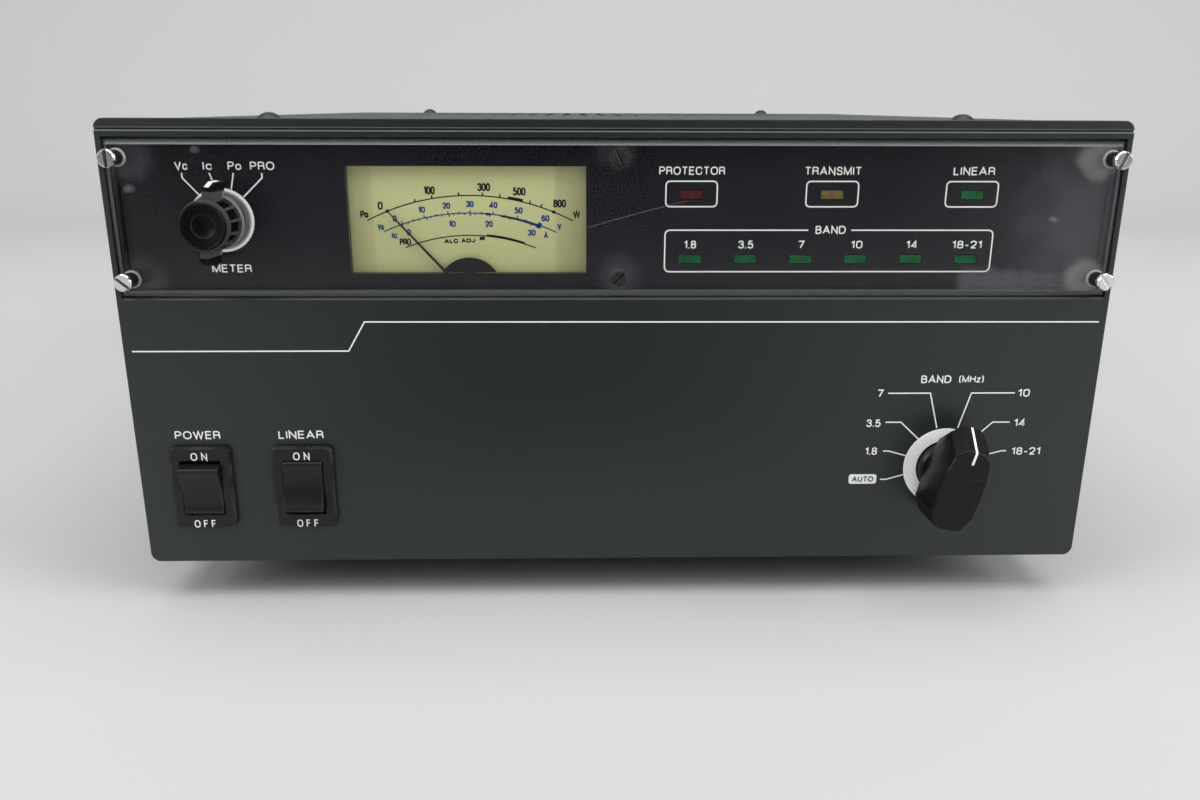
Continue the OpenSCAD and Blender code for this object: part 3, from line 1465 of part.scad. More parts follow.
// Finger guards: wire rings on four radial wires that end in screw eyes
module fan_guards() {
  wire_y = cabinet_d + guard_wire_r;
  in_cabinet() color(silver) for (x = [-1, 1]) translate([x * fan_x, 0, fan_z]) {
    for (i = [1:guard_rings]) rotate([90, 0, 0]) translate([0, 0, -wire_y - guard_wire_r * 1.4])
      rotate_extrude($fn = fine) translate([i * fan_bore_r / guard_rings, 0]) circle(r = guard_wire_r, $fn = 24);
    for (a = [45:90:315]) rotate([0, a, 0])
      translate([5, wire_y, 0]) rotate([0, 90, 0])
        cylinder(r = guard_wire_r, h = fan_screw * sqrt(2) - 7, $fn = 24);
    for (sx = [-1, 1], sz = [-1, 1]) translate([sx * fan_screw, 0, sz * fan_screw]) difference() {
      rod_y(screw_r + 1.6, cabinet_d, 2 * guard_wire_r);
      rod_y(screw_r + slip, cabinet_d - 1, 4);
    }
    for (sx = [-1, 1], sz = [-1, 1]) translate([sx * fan_screw, cabinet_d + 2 * guard_wire_r, sz * fan_screw])
      rotate([-90, 0, 0]) truss_screw(screw_head_r - 0.6, 2, screw_r, rear_t + 8);
  }
}

// ---------- Rear sockets ----------

module coax_sockets() {
  in_cabinet() color(silver) for (z = [antenna_z, input_z]) translate([coax_x, 0, z]) difference() {
    union() {
      plate_y(cabinet_d, 1.6) round_rect(coax_flange, coax_flange, 2);
      // threaded part, and the relief between it and the flange
      rod_y(coax_r, cabinet_d + coax_relief, coax_l - coax_relief);
      rod_y(coax_r - 0.6, rear_y - 5, 5 + rear_t + coax_l - 1);
      // screw heads at the flange's corners
      for (sx = [-1, 1], sz = [-1, 1])
        translate([sx * (coax_flange / 2 - 3.6), 0, sz * (coax_flange / 2 - 3.6)])
          rod_y(2.6, cabinet_d + 1.5, 1.5);
    }
    rod_y(coax_r - 1.5, rear_y - 6, coax_l + 20);
    // notches in the shell's end that stop the plug from turning
    for (a = [0, 90]) rotate([0, a, 0]) translate([-20, cabinet_d + coax_l - 1.2, -0.9]) cube([40, 2, 1.8]);
  }
}

module socket_insulators() {
  in_cabinet() color([0.93, 0.92, 0.88]) {
    for (z = [antenna_z, input_z]) translate([coax_x, 0, z]) difference() {
      union() {
        rod_y(coax_r - 1.5, rear_y - 5, coax_l + 1);
        rod_y(2.4, rear_y - 10, coax_l + 11);
      }
      rod_y(contact_r, cabinet_d + coax_l - 12, 14);
    }
    for (i = [0:1]) translate([coax_x - 10 - i * jack_pitch, 0, jack_z]) difference() {
      rod_y(jack_r - 0.6, cabinet_d + 0.5, jack_l - 4);
      rod_y(1.6, cabinet_d + 1.5, jack_l);
    }
  }
}

// Phono jacks, the accessory socket and the ground terminal
module signal_sockets() {
  in_cabinet() color([0.7, 0.7, 0.7]) {
    for (i = [0:1]) translate([coax_x - 10 - i * jack_pitch, 0, jack_z]) difference() {
      union() {
        rod_y(6.5, cabinet_d, 1);
        rod_y(jack_r, cabinet_d, jack_l);
        rod_y(3.1, rear_y - 5, 7.5);
        translate([0, rear_y - 0.01, 0]) rotate([90, 0, 0]) cylinder(r = 5, h = 2, $fn = 6);
      }
      rod_y(jack_r - 0.6, cabinet_d + 0.5, jack_l);
    }
    translate([0, 0, jack_z]) difference() {
      union() {
        plate_y(cabinet_d, 1.2) slot(2 * acc_r + 14, 2 * acc_r + 2);
        rod_y(acc_r, cabinet_d, 4);
        rod_y(acc_r - 1.4, rear_y - 8, 8 + rear_t);
      }
      rod_y(acc_r - 2.1, cabinet_d - acc_well, acc_well + 5);
      for (a = [45:45:315]) rotate([0, a + 90, 0]) translate([acc_r * 0.5, 0, 0]) rod_y(0.8, rear_y - 6, 6);
    }
    translate([ground_x, 0, jack_z]) {
      rod_y(ground_r, rear_y - 6, 20);
      translate([0, rear_y, 0]) rotate([90, 0, 0]) cylinder(r = 5, h = 2.4, $fn = 6);
      rod_y(5.5, cabinet_d, 0.8);
      // wing nut
      rod_y(4.6, cabinet_d + 2, 5);
      for (a = [0, 180]) rotate([0, a + 20, 0]) translate([2, cabinet_d + 3.4, -1]) cube([9.5, 6, 2]);
    }
  }
}

// Power socket: a shroud round six blades
module power_socket() {
  in_cabinet() translate([-coax_x, 0, power_z]) color([0.9, 0.89, 0.84]) {
    difference() {
      union() {
        plate_y(cabinet_d, 2) round_rect(power_w, power_h + 8, 2);
        plate_y(cabinet_d, power_l) round_rect(power_w - 4, power_h - 4, 1.5);
        plate_y(rear_y - 16, 16 + rear_t) square([power_w - 6, power_h - 6], center = true);
      }
      plate_y(cabinet_d - 1, power_l + 2) round_rect(power_w - 8, power_h - 8, 1);
    }
    for (i = [-1, 0, 1], j = [-1, 1]) plate_y(cabinet_d - 1.2, blade_l) translate([i * 8.6, j * 4])
      square([4.4, 1], center = true);
  }
}

// Quarter bend of a round lead at the corner c, from direction d1 to d2
module elbow(c, d1, d2, bend, r) {
  n = cross(-d2, d1);
  o = c - bend * d1 + bend * d2;
  multmatrix([
    [-d2[0], d1[0], n[0], o[0]],
    [-d2[1], d1[1], n[1], o[1]],
    [-d2[2], d1[2], n[2], o[2]],
    [0, 0, 0, 1]
  ]) rotate_extrude(angle = 90) translate([bend, 0]) circle(r = r, $fn = 24);
}

// Round lead along straight runs that meet at right angles
module route(points, bend, r) {
  n = len(points);
  dirs = [for (i = [0:n - 2]) (points[i + 1] - points[i]) / norm(points[i + 1] - points[i])];
  for (i = [0:n - 2]) lead(
    points[i] + (i > 0 ? bend : 0) * dirs[i],
    points[i + 1] - (i < n - 2 ? bend : 0) * dirs[i],
    r
  );
  for (i = [1:n - 2]) elbow(points[i], dirs[i - 1], dirs[i], bend, r);
}

// Insulated leads from the power socket to the capacitors, and coax jumpers
// from the two coax sockets down to the filter board's edge
module inner_leads() {
  bend = 8;
  can_y = can_front + 2 * can_pitch;
  in_cabinet() {
    color([0.6, 0.12, 0.1]) for (i = [-1, 1]) route([
      [-coax_x + i * lead_gap, rear_y - 16, power_z],
      [-coax_x + i * lead_gap, can_y, power_z],
      [-coax_x + i * lead_gap, can_y, floor_z + can_h + 3]
    ], bend, lead_r);
    color([0.2, 0.2, 0.2]) for (i = [0, 1]) route([
      [coax_x, rear_y - 10, [antenna_z, input_z][i]],
      [coax_x, filter_y + filter_l - 50 + i * 40, [antenna_z, input_z][i]],
      [coax_x, filter_y + filter_l - 50 + i * 40, filter_z + board_t]
    ], bend, jumper_r);
  }
}

front_panel();
display_panel();
display_window();
window_collars();
window_screws();
window_mid_screws();
meter_case();
meter_scale_plate();
meter_cover_disc();
meter_glass();
meter_magnet();
meter_needle();
meter_lamps();
led_board();
protector_led();
transmit_led();
linear_led();
band_leds();
meter_dial_ring();
meter_knob();
meter_switch_body();
meter_switch_rotor();
band_dial_ring();
band_knob();
band_switch_body();
band_switch_rotor();
switch_nuts();
power_switch_housing();
power_rocker();
linear_switch_housing();
linear_rocker();
switch_terminals();
chassis();
shield_plate();
rear_panel();
top_cover();
bottom_cover();
cabinet_screws();
feet();
control_board();
filter_board();
filter_coils();
filter_relays();
board_standoffs();
heat_sink();
heat_sink_brackets();
pa_boards();
pa_transistors();
pa_transformers();
reservoir_capacitors();
left_fan_frame();
right_fan_frame();
left_fan_rotor();
right_fan_rotor();
fan_guards();
coax_sockets();
socket_insulators();
signal_sockets();
power_socket();
inner_leads();
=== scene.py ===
"""Looks of a desktop radio-frequency power amplifier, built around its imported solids.

Prints are laid out in millimetres in the front panel's own frame: x to the right of its middle,
depth behind its face, and z above its lower edge. Finishes place their masks in metres of the
part's frame, and their colours are linear.
"""

import logging
import math
from dataclasses import dataclass
from enum import Enum
from typing import Callable, Iterable, Iterator, Optional, Sequence

import bpy
from mathutils import Matrix, Vector

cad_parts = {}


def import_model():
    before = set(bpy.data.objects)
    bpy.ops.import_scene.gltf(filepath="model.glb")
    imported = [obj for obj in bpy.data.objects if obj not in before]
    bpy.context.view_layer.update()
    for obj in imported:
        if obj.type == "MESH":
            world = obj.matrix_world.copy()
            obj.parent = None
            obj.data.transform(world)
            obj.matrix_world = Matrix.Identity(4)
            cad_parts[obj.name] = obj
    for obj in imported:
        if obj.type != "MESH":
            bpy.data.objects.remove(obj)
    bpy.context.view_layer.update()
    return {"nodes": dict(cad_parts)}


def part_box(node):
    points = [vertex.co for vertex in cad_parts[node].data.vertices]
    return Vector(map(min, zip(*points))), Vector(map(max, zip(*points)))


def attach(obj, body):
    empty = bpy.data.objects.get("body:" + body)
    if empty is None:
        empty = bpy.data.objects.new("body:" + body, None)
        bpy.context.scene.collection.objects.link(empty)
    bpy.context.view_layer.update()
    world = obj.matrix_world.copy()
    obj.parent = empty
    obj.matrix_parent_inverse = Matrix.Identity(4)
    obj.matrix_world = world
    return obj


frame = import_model()

LOG = logging.getLogger("amplifier")
MM = 0.001
Point = tuple[float, float]
Colour = tuple[float, float, float]
Socket = bpy.types.NodeSocket


class Body(str, Enum):
    """Rigid bodies that carry printed pieces."""

    CABINET = "cabinet"
    METER_SELECTOR = "meter_selector"
    BAND_SELECTOR = "band_selector"


@dataclass(frozen=True)
class PanelFrame:
    """Frame of the front panel: the middle of its lower front edge, in metres."""

    x: float
    y: float
    z: float

    @staticmethod
    def measured() -> "PanelFrame":
        """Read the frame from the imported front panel."""
        low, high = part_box("front_panel")
        return PanelFrame((low[0] + high[0]) / 2, low[1], low[2])

    def at(self, x: float, depth: float, z: float) -> Vector:
        """Turn a place on the panel, in millimetres, into metres of the part's frame."""
        return Vector((self.x + x * MM, self.y + depth * MM, self.z + z * MM))


PANEL = PanelFrame.measured()


# ---------- Shader nodes ----------


class NodeKit:
    """Short ways to add and link nodes in one tree."""

    def __init__(self, tree: bpy.types.NodeTree) -> None:
        """Keep the tree to work in."""
        self.tree = tree
        self._place: Optional[Socket] = None
        self._parts: Optional[bpy.types.Node] = None

    def add(self, kind: str, inputs: Optional[dict] = None, **settings: object) -> bpy.types.Node:
        """Add a node of a kind with its settings, and feed its inputs."""
        node = self.tree.nodes.new(kind)
        for key, value in settings.items():
            setattr(node, key, value)
        self.feed(node, inputs or {})
        return node

    def link(self, source: Socket, target: Socket) -> None:
        """Join two sockets."""
        self.tree.links.new(source, target)

    def feed(self, node: bpy.types.Node, inputs: dict) -> None:
        """Link or set inputs, given by name or number; a colour is given its alpha here."""
        for key, value in inputs.items():
            socket = node.inputs[key]
            if isinstance(value, Socket):
                self.link(value, socket)
            elif socket.type == "RGBA":
                socket.default_value = (*value[:3], 1.0)
            else:
                socket.default_value = value

    def group(self, tree: bpy.types.NodeTree, inputs: dict) -> bpy.types.bpy_prop_collection:
        """Place a shared effect with its own values, and give its outputs."""
        return self.add("ShaderNodeGroup", inputs, node_tree=tree).outputs

    def math(self, operation: str, a: object, b: object = 0.0, clamp: bool = False) -> Socket:
        """Add a Math node and give its output."""
        return self.add("ShaderNodeMath", {0: a, 1: b}, operation=operation, use_clamp=clamp).outputs[0]

    def plus(self, a: object, b: object, clamp: bool = False) -> Socket:
        """Sum of two values."""
        return self.math("ADD", a, b, clamp)

    def minus(self, a: object, b: object) -> Socket:
        """Difference of two values."""
        return self.math("SUBTRACT", a, b)

    def times(self, a: object, b: object, clamp: bool = False) -> Socket:
        """Product of two values."""
        return self.math("MULTIPLY", a, b, clamp)

    def away(self, value: object, place: float) -> Socket:
        """Distance of a value from a place."""
        return self.math("ABSOLUTE", self.minus(value, place))

    def strongest(self, masks: Sequence[Socket]) -> Socket:
        """Highest of some masks."""
        total = masks[0]
        for mask in masks[1:]:
            total = self.math("MAXIMUM", total, mask)
        return total

    def ramp(self, value: object, low: float, high: float, invert: bool = False) -> Socket:
        """Map a range to 0..1 with soft ends."""
        return self.add("ShaderNodeMapRange", {
            "Value": value, "From Min": low, "From Max": high, "To Min": float(invert), "To Max": float(not invert),
        }, interpolation_type="SMOOTHSTEP").outputs[0]

    def line(self, value: object, place: float, half: float, soft_half: float) -> Socket:
        """Mask of a fine line where a value meets a place."""
        return self.ramp(self.away(value, place), half, soft_half, invert=True)

    def place(self) -> Socket:
        """Place on the object."""
        if self._place is None:
            self._place = self.add("ShaderNodeTexCoord").outputs["Object"]
        return self._place

    def axis(self, name: str) -> Socket:
        """The place's X, Y or Z."""
        if self._parts is None:
            self._parts = self.add("ShaderNodeSeparateXYZ", {0: self.place()})
        return self._parts.outputs[name]

    def radius(self, centre: Point) -> Socket:
        """Distance from an axis that runs front to back, given by its x and z."""
        dx, dz = self.minus(self.axis("X"), centre[0]), self.minus(self.axis("Z"), centre[1])
        return self.math("SQRT", self.plus(self.times(dx, dx), self.times(dz, dz)))

    def noise(self, scale: object, detail: float, roughness: float, place: Optional[Socket] = None) -> Socket:
        """Value of a noise at the object's place, or at another."""
        return self.add("ShaderNodeTexNoise", {
            "Vector": self.place() if place is None else place, "Scale": scale, "Detail": detail,
            "Roughness": roughness}).outputs[0]

    def mix(self, factor: object, a: object, b: object) -> Socket:
        """Mix of two colours."""
        return self.add("ShaderNodeMix", {0: factor, 6: a, 7: b}, data_type="RGBA").outputs[2]


def new_group(name: str, inputs: dict[str, object], outputs: dict[str, str]) -> tuple:
    """Make an empty node group.

    Args:
        name: Name of the group.
        inputs: Default of each input; a tuple makes a colour, and a number a value.
        outputs: Kind of each output.

    Returns:
        The group's kit, what it is given, and what it gives back.
    """
    tree = bpy.data.node_groups.new(name, "ShaderNodeTree")
    for label, default in inputs.items():
        kind = "NodeSocketColor" if isinstance(default, tuple) else "NodeSocketFloat"
        tree.interface.new_socket(label, in_out="INPUT", socket_type=kind).default_value = default
    for label, kind in outputs.items():
        tree.interface.new_socket(label, in_out="OUTPUT", socket_type=f"NodeSocket{kind}")
    return NodeKit(tree), tree.nodes.new("NodeGroupInput").outputs, tree.nodes.new("NodeGroupOutput").inputs


def grain_group() -> bpy.types.NodeTree:
    """Fine grain and soft clouds in colour, roughness and height."""
    kit, given, result = new_group(
        "moulded_grain",
        {"Color": (0.5, 0.5, 0.5, 1.0), "Tint": 0.1, "Grain Scale": 1200.0, "Cloud Scale": 25.0, "Cloud Tint": 0.05,
         "Roughness": 0.5, "Spread": 0.1},
        {"Color": "Color", "Roughness": "Float", "Height": "Float"})
    fine = kit.noise(given["Grain Scale"], 3.0, 0.6)
    cloud = kit.minus(kit.noise(given["Cloud Scale"], 4.0, 0.55), 0.5)
    fine_shift = kit.times(kit.minus(fine, 0.5), given["Tint"])
    gain = kit.plus(kit.plus(fine_shift, kit.times(cloud, given["Cloud Tint"])), 1.0)
    scaled = kit.add("ShaderNodeVectorMath", {0: given["Color"], "Scale": gain}, operation="SCALE")
    kit.link(scaled.outputs[0], result["Color"])
    kit.link(kit.plus(kit.times(cloud, given["Spread"]), given["Roughness"]), result["Roughness"])
    kit.link(fine, result["Height"])
    return kit.tree


def wear_and_highlight_group() -> bpy.types.NodeTree:
    """Mask of chipped edges, used for real chips and for painted edge highlights, and normals that round the edges."""
    kit, given, result = new_group(
        "edge_wear_and_highlight", {"Radius": 0.0004, "Amount": 0.5, "Scale": 160.0}, {"Mask": "Float", "Normal": "Vector"})
    round_normal = kit.add("ShaderNodeBevel", {"Radius": given["Radius"]}, samples=4).outputs[0]
    flat_normal = kit.add("ShaderNodeNewGeometry").outputs["Normal"]
    dot = kit.add("ShaderNodeVectorMath", {0: round_normal, 1: flat_normal}, operation="DOT_PRODUCT")
    edge_gain, first_chip, full_chip = 4.0, 0.42, 0.62
    edge = kit.times(kit.minus(1.0, dot.outputs["Value"]), edge_gain)
    chips = kit.ramp(kit.noise(given["Scale"], 4.0, 0.7), first_chip, full_chip)
    kit.link(kit.times(kit.times(edge, chips), given["Amount"], clamp=True), result["Mask"])
    kit.link(round_normal, result["Normal"])
    return kit.tree


def specks_group() -> bpy.types.NodeTree:
    """Mask of small specks of dust, in some cells of a Voronoi pattern."""
    kit, given, result = new_group("dust_specks", {"Scale": 300.0, "Size": 0.12, "Cover": 0.5}, {"Mask": "Float"})
    cells = kit.add("ShaderNodeTexVoronoi", {"Vector": kit.place(), "Scale": given["Scale"]}).outputs
    chance = kit.add("ShaderNodeSeparateColor", {0: cells["Color"]}).outputs
    speck = kit.math("LESS_THAN", cells["Distance"], kit.times(given["Size"], chance[0]))
    chosen = kit.math("LESS_THAN", chance[1], given["Cover"])
    kit.link(kit.times(speck, chosen), result["Mask"])
    return kit.tree


def scratches_group() -> bpy.types.NodeTree:
    """Mask of short fine scratches that run in two directions."""
    kit, given, result = new_group("fine_scratches", {"Scale": 40.0, "Amount": 0.3}, {"Mask": "Float"})
    masks = []
    for turn, stretch in ((0.5, 26.0), (-0.9, 34.0)):
        turned = kit.add("ShaderNodeMapping", {
            "Vector": kit.place(), "Rotation": (0.0, turn, turn * 0.6), "Scale": (1.0, stretch, stretch)})
        masks.append(kit.ramp(kit.noise(given["Scale"], 2.0, 0.5, turned.outputs[0]), 0.70, 0.74))
    kit.link(kit.times(kit.strongest(masks), given["Amount"]), result["Mask"])
    return kit.tree


GRAIN, WEAR_AND_HIGHLIGHT, SPECKS, SCRATCHES = grain_group(), wear_and_highlight_group(), specks_group(), scratches_group()


def new_material(name: str, look: Callable[[NodeKit], dict]) -> bpy.types.Material:
    """Make a material whose shader inputs come from a look."""
    material = bpy.data.materials.new(name)
    material.use_nodes = True
    kit = NodeKit(material.node_tree)
    kit.feed(material.node_tree.nodes["Principled BSDF"], look(kit))
    return material


# ---------- Finishes ----------


@dataclass(frozen=True)
class Surface:
    """A named look that becomes a material at its first use."""

    name: str
    colour: Colour

    def look(self, kit: NodeKit) -> dict:
        """Shader inputs of the surface."""
        return {"Base Color": self.colour}

    def material(self) -> bpy.types.Material:
        """Build the material, or give the one that is there already."""
        title = f"{self.name}_finish"
        return bpy.data.materials.get(title) or new_material(title, self.look)


@dataclass(frozen=True)
class Finish(Surface):
    """A solid surface: base look, grain, chipped edges that some finishes use as painted edge highlights, dust and
    scratches.

    Scales are per metre, and depths are metres. The extra look is what only one finish has.
    """

    roughness: float = 0.5
    metallic: float = 0.0
    specular: float = 0.5
    coat: float = 0.0
    tint: float = 0.12
    grain_scale: float = 1500.0
    grain_depth: float = 0.00002
    grain_bump: float = 0.15
    cloud_scale: float = 22.0
    cloud_tint: float = 0.10
    rough_spread: float = 0.12
    edge_radius: float = 0.0
    wear_and_highlight: float = 0.0
    wear_and_highlight_colour: Colour = (0.3, 0.3, 0.3)
    dust: float = 0.0
    dust_scale: float = 260.0
    dust_size: float = 0.14
    dust_colour: Colour = (0.35, 0.35, 0.34)
    scratches: float = 0.0
    extra: Optional[Callable[[NodeKit, Socket], Socket]] = None

    def look(self, kit: NodeKit) -> dict:
        """Layer the effects, and give the shader inputs."""
        grain = kit.group(GRAIN, {
            "Color": self.colour, "Tint": self.tint, "Grain Scale": self.grain_scale,
            "Cloud Scale": self.cloud_scale, "Cloud Tint": self.cloud_tint,
            "Roughness": self.roughness, "Spread": self.rough_spread})
        colour = grain["Color"]
        bump = {"Strength": self.grain_bump, "Distance": self.grain_depth, "Height": grain["Height"]}
        # chipped edges: real chips, and on some finishes painted edge highlights
        if self.edge_radius > 0:
            edge_marks = kit.group(WEAR_AND_HIGHLIGHT, {"Radius": self.edge_radius, "Amount": self.wear_and_highlight})
            bump["Normal"] = edge_marks["Normal"]
            if self.wear_and_highlight > 0:
                colour = kit.mix(edge_marks["Mask"], colour, self.wear_and_highlight_colour)
        if self.scratches > 0:
            lines = kit.group(SCRATCHES, {"Amount": self.scratches})
            colour = kit.mix(lines["Mask"], colour, self.dust_colour)
        if self.dust > 0:
            specks = kit.group(SPECKS, {"Cover": self.dust, "Scale": self.dust_scale, "Size": self.dust_size})
            colour = kit.mix(specks["Mask"], colour, self.dust_colour)
        if self.extra:
            colour = self.extra(kit, colour)
        return {
            "Metallic": self.metallic, "Specular IOR Level": self.specular, "Coat Weight": self.coat,
            "Coat Roughness": 0.12, "Base Color": colour, "Roughness": grain["Roughness"],
            "Normal": kit.add("ShaderNodeBump", bump).outputs[0],
        }


@dataclass(frozen=True)
class ClearFinish(Surface):
    """A clear sheet: see-through, glossy, and hazy where use has rubbed it. Its colour is its haze.

    Spots are x, z, radius and strength, and edge highlights, painted light lines along the sheet's edges, are z and
    strength.
    """

    alpha: float = 0.02
    edge_alpha: float = 0.0
    spots: tuple[tuple[float, float, float, float], ...] = ()
    edge_highlights: tuple[Point, ...] = ()
    scratch: tuple[Point, ...] = ()
    dust: float = 0.0

    def look(self, kit: NodeKit) -> dict:
        """Layer the haze and what lies over it, and give the shader inputs."""
        cloud_scale, cloud_depth, spot_depth = 14.0, 0.04, 0.55
        clouds = kit.noise(cloud_scale, 4.0, 0.6)
        alpha = kit.plus(kit.times(kit.minus(clouds, 0.5), cloud_depth), self.alpha)
        colour: object = self.colour
        if self.spots:
            spots = kit.strongest(list(self._spots(kit)))
            alpha = kit.plus(alpha, kit.times(spots, spot_depth), clamp=True)
            colour = kit.mix(spots, colour, (0.40, 0.41, 0.40))
        for mask, opacity, tone in self._layers(kit):
            alpha = kit.math("MAXIMUM", alpha, kit.times(mask, opacity))
            colour = kit.mix(mask, colour, tone)
        return {
            "IOR": 1.49, "Base Color": colour, "Alpha": alpha, "Roughness": kit.plus(kit.times(clouds, 0.06), 0.05)}

    def _layers(self, kit: NodeKit) -> Iterator[tuple[Socket, float, Colour]]:
        """Mask, opacity and colour of what lies over the haze."""
        if self.dust > 0:
            yield kit.group(SPECKS, {"Cover": self.dust, "Scale": 230.0, "Size": 0.13})["Mask"], 0.55, (0.5, 0.5, 0.5)
        if self.edge_alpha > 0:
            normal = kit.add("ShaderNodeNewGeometry").outputs["Normal"]
            facing = kit.math("ABSOLUTE", kit.add("ShaderNodeSeparateXYZ", {0: normal}).outputs["Y"])
            yield kit.ramp(facing, 0.90, 0.97, invert=True), self.edge_alpha, (0.22, 0.215, 0.235)
        # painted highlights: light lines along the sheet's top and lower edges
        if self.edge_highlights:
            lines = [kit.times(kit.line(kit.axis("Z"), z, 0.00006, 0.00016), power) for z, power in self.edge_highlights]
            yield kit.strongest(lines), 1.0, (0.62, 0.60, 0.62)
        if self.scratch:
            yield self._scratch(kit), 1.0, (0.50, 0.50, 0.52)

    def _scratch(self, kit: NodeKit) -> Socket:
        """Mask of one fine curved scratch on the front face, through three points."""
        half, soft_half, front_depth, strength = 0.00004, 0.00011, 0.0005, 0.45
        centre = arc_centre(*self.scratch)
        mask = kit.line(kit.radius(centre), math.dist(centre, self.scratch[0]), half, soft_half)
        for test, axis, limit in (
            ("GREATER_THAN", "X", self.scratch[0][0]), ("LESS_THAN", "X", self.scratch[2][0]),
            ("LESS_THAN", "Y", PANEL.y + front_depth),
        ):
            mask = kit.times(mask, kit.math(test, kit.axis(axis), limit))
        return kit.times(mask, strength)

    def _spots(self, kit: NodeKit) -> Iterator[Socket]:
        """Masks of the hazy spots, whose rims are ragged."""
        rough = kit.minus(kit.noise(150.0, 4.0, 0.55), 0.5)
        for x, z, radius, strength in self.spots:
            ragged = kit.plus(kit.radius((x, z)), kit.times(rough, radius * 0.5))
            yield kit.times(kit.ramp(ragged, radius * 0.35, radius, invert=True), strength)


METER_AXIS = (-0.1200, 0.1248)


def meter_face_painted_light(kit: NodeKit, colour: Socket) -> Socket:
    """Paint light on the scale plate, paler towards its top, and paint shade in a strip at both ends."""
    painted_light_colour, shade = (0.655, 0.66, 0.317), (0.20, 0.20, 0.095)
    painted_light_from, painted_light_at, left, right = 0.1150, 0.1370, -0.0752, -0.0194
    # painted light: the plate turns paler towards its top
    colour = kit.mix(kit.ramp(kit.axis("Z"), painted_light_from, painted_light_at), colour, painted_light_colour)
    # painted shade: a darker strip at each end, where the case's walls would shade it
    ends = (
        (kit.ramp(kit.axis("X"), left - 0.0005, left + 0.0005, invert=True), 0.18),
        (kit.ramp(kit.axis("X"), right - 0.0010, right + 0.0010), 0.25),
    )
    for end, strength in ends:
        colour = kit.mix(kit.times(end, strength), colour, shade)
    return colour


def groove_painted_highlight(kit: NodeKit, colour: Socket) -> Socket:
    """Paint a highlight on the panel's enamel along the lip's groove, on the face alone."""
    groove, half, soft_half = 0.1515, 0.00058, 0.00064
    face = kit.ramp(kit.axis("Y"), PANEL.y + 0.00032, PANEL.y + 0.00040, invert=True)
    return kit.mix(kit.times(kit.line(kit.axis("Z"), groove, half, soft_half), face), colour, (0.125, 0.140, 0.145))


def lit_rim(kit: NodeKit, colour: Socket) -> Socket:
    """Lighten a collar's sloped rim next to the window."""
    return kit.mix(kit.ramp(kit.axis("Y"), PANEL.y - 0.00072, PANEL.y - 0.00064), colour, (0.26, 0.255, 0.26))


def fluted_knob(kit: NodeKit, colour: Socket) -> Socket:
    """Paint highlights on the ribs and in two rings on the cap of the fluted knob, and lighten its base ring to grey.
    """
    base_radius, rib_radius, base_reach, cap_reach, soft = 0.0096, 0.0067, 0.00195, 0.0110, 0.0002
    radius, reach = kit.radius(METER_AXIS), kit.minus(PANEL.y, kit.axis("Y"))
    inside = kit.ramp(radius, base_radius, base_radius + soft, invert=True)
    base = kit.times(kit.ramp(reach, base_reach, base_reach + soft, invert=True), inside)
    out = kit.times(kit.ramp(radius, rib_radius, rib_radius + soft), inside)
    rib_highlight = kit.times(kit.ramp(reach, cap_reach, cap_reach + 0.0003, invert=True), out)
    # painted highlight on the ribs
    colour = kit.mix(kit.times(rib_highlight, 0.8), colour, (0.075, 0.071, 0.070))
    cap = kit.ramp(reach, cap_reach, cap_reach + 0.0003)
    # painted highlights in two rings on the cap
    for ring, strength in ((0.00345, 0.5), (0.00695, 1.0)):
        line = kit.times(kit.line(radius, ring, 0.00006, 0.00018), strength)
        colour = kit.mix(kit.times(line, cap), colour, (0.040, 0.043, 0.046))
    return kit.mix(base, colour, (0.17, 0.165, 0.165))


def grey_slope(kit: NodeKit, colour: Socket) -> Socket:
    """Turn the inner slope of the meter's dial ring grey."""
    slope_end, soft = 0.0087, 0.0002
    slope = kit.ramp(kit.radius(METER_AXIS), slope_end, slope_end + soft, invert=True)
    return kit.mix(slope, colour, (0.30, 0.29, 0.28))


def brass_blades(kit: NodeKit, colour: Socket) -> Socket:
    """Turn the power socket's blades, which stand clear inside the shroud, brass."""
    middle, half_width, half_height, root = (-0.1180, 0.0880), 0.0115, 0.0055, 0.36505
    across = kit.math("LESS_THAN", kit.away(kit.axis("X"), middle[0]), half_width)
    up = kit.math("LESS_THAN", kit.away(kit.axis("Z"), middle[1]), half_height)
    proud = kit.math("GREATER_THAN", kit.axis("Y"), PANEL.y + root)
    return kit.mix(kit.times(kit.times(across, up), proud), colour, (0.62, 0.43, 0.17))


def lens(name: str, colour: Colour, chip: Colour) -> Finish:
    """Tinted indicator whose chip shows through in streaks."""

    def streaks(kit: NodeKit, tinted: Socket) -> Socket:
        return kit.mix(kit.times(kit.ramp(kit.noise(420.0, 2.0, 0.5), 0.42, 0.62), 0.7), tinted, chip)

    return Finish(name, colour, specular=0.2, roughness=0.3, extra=streaks)


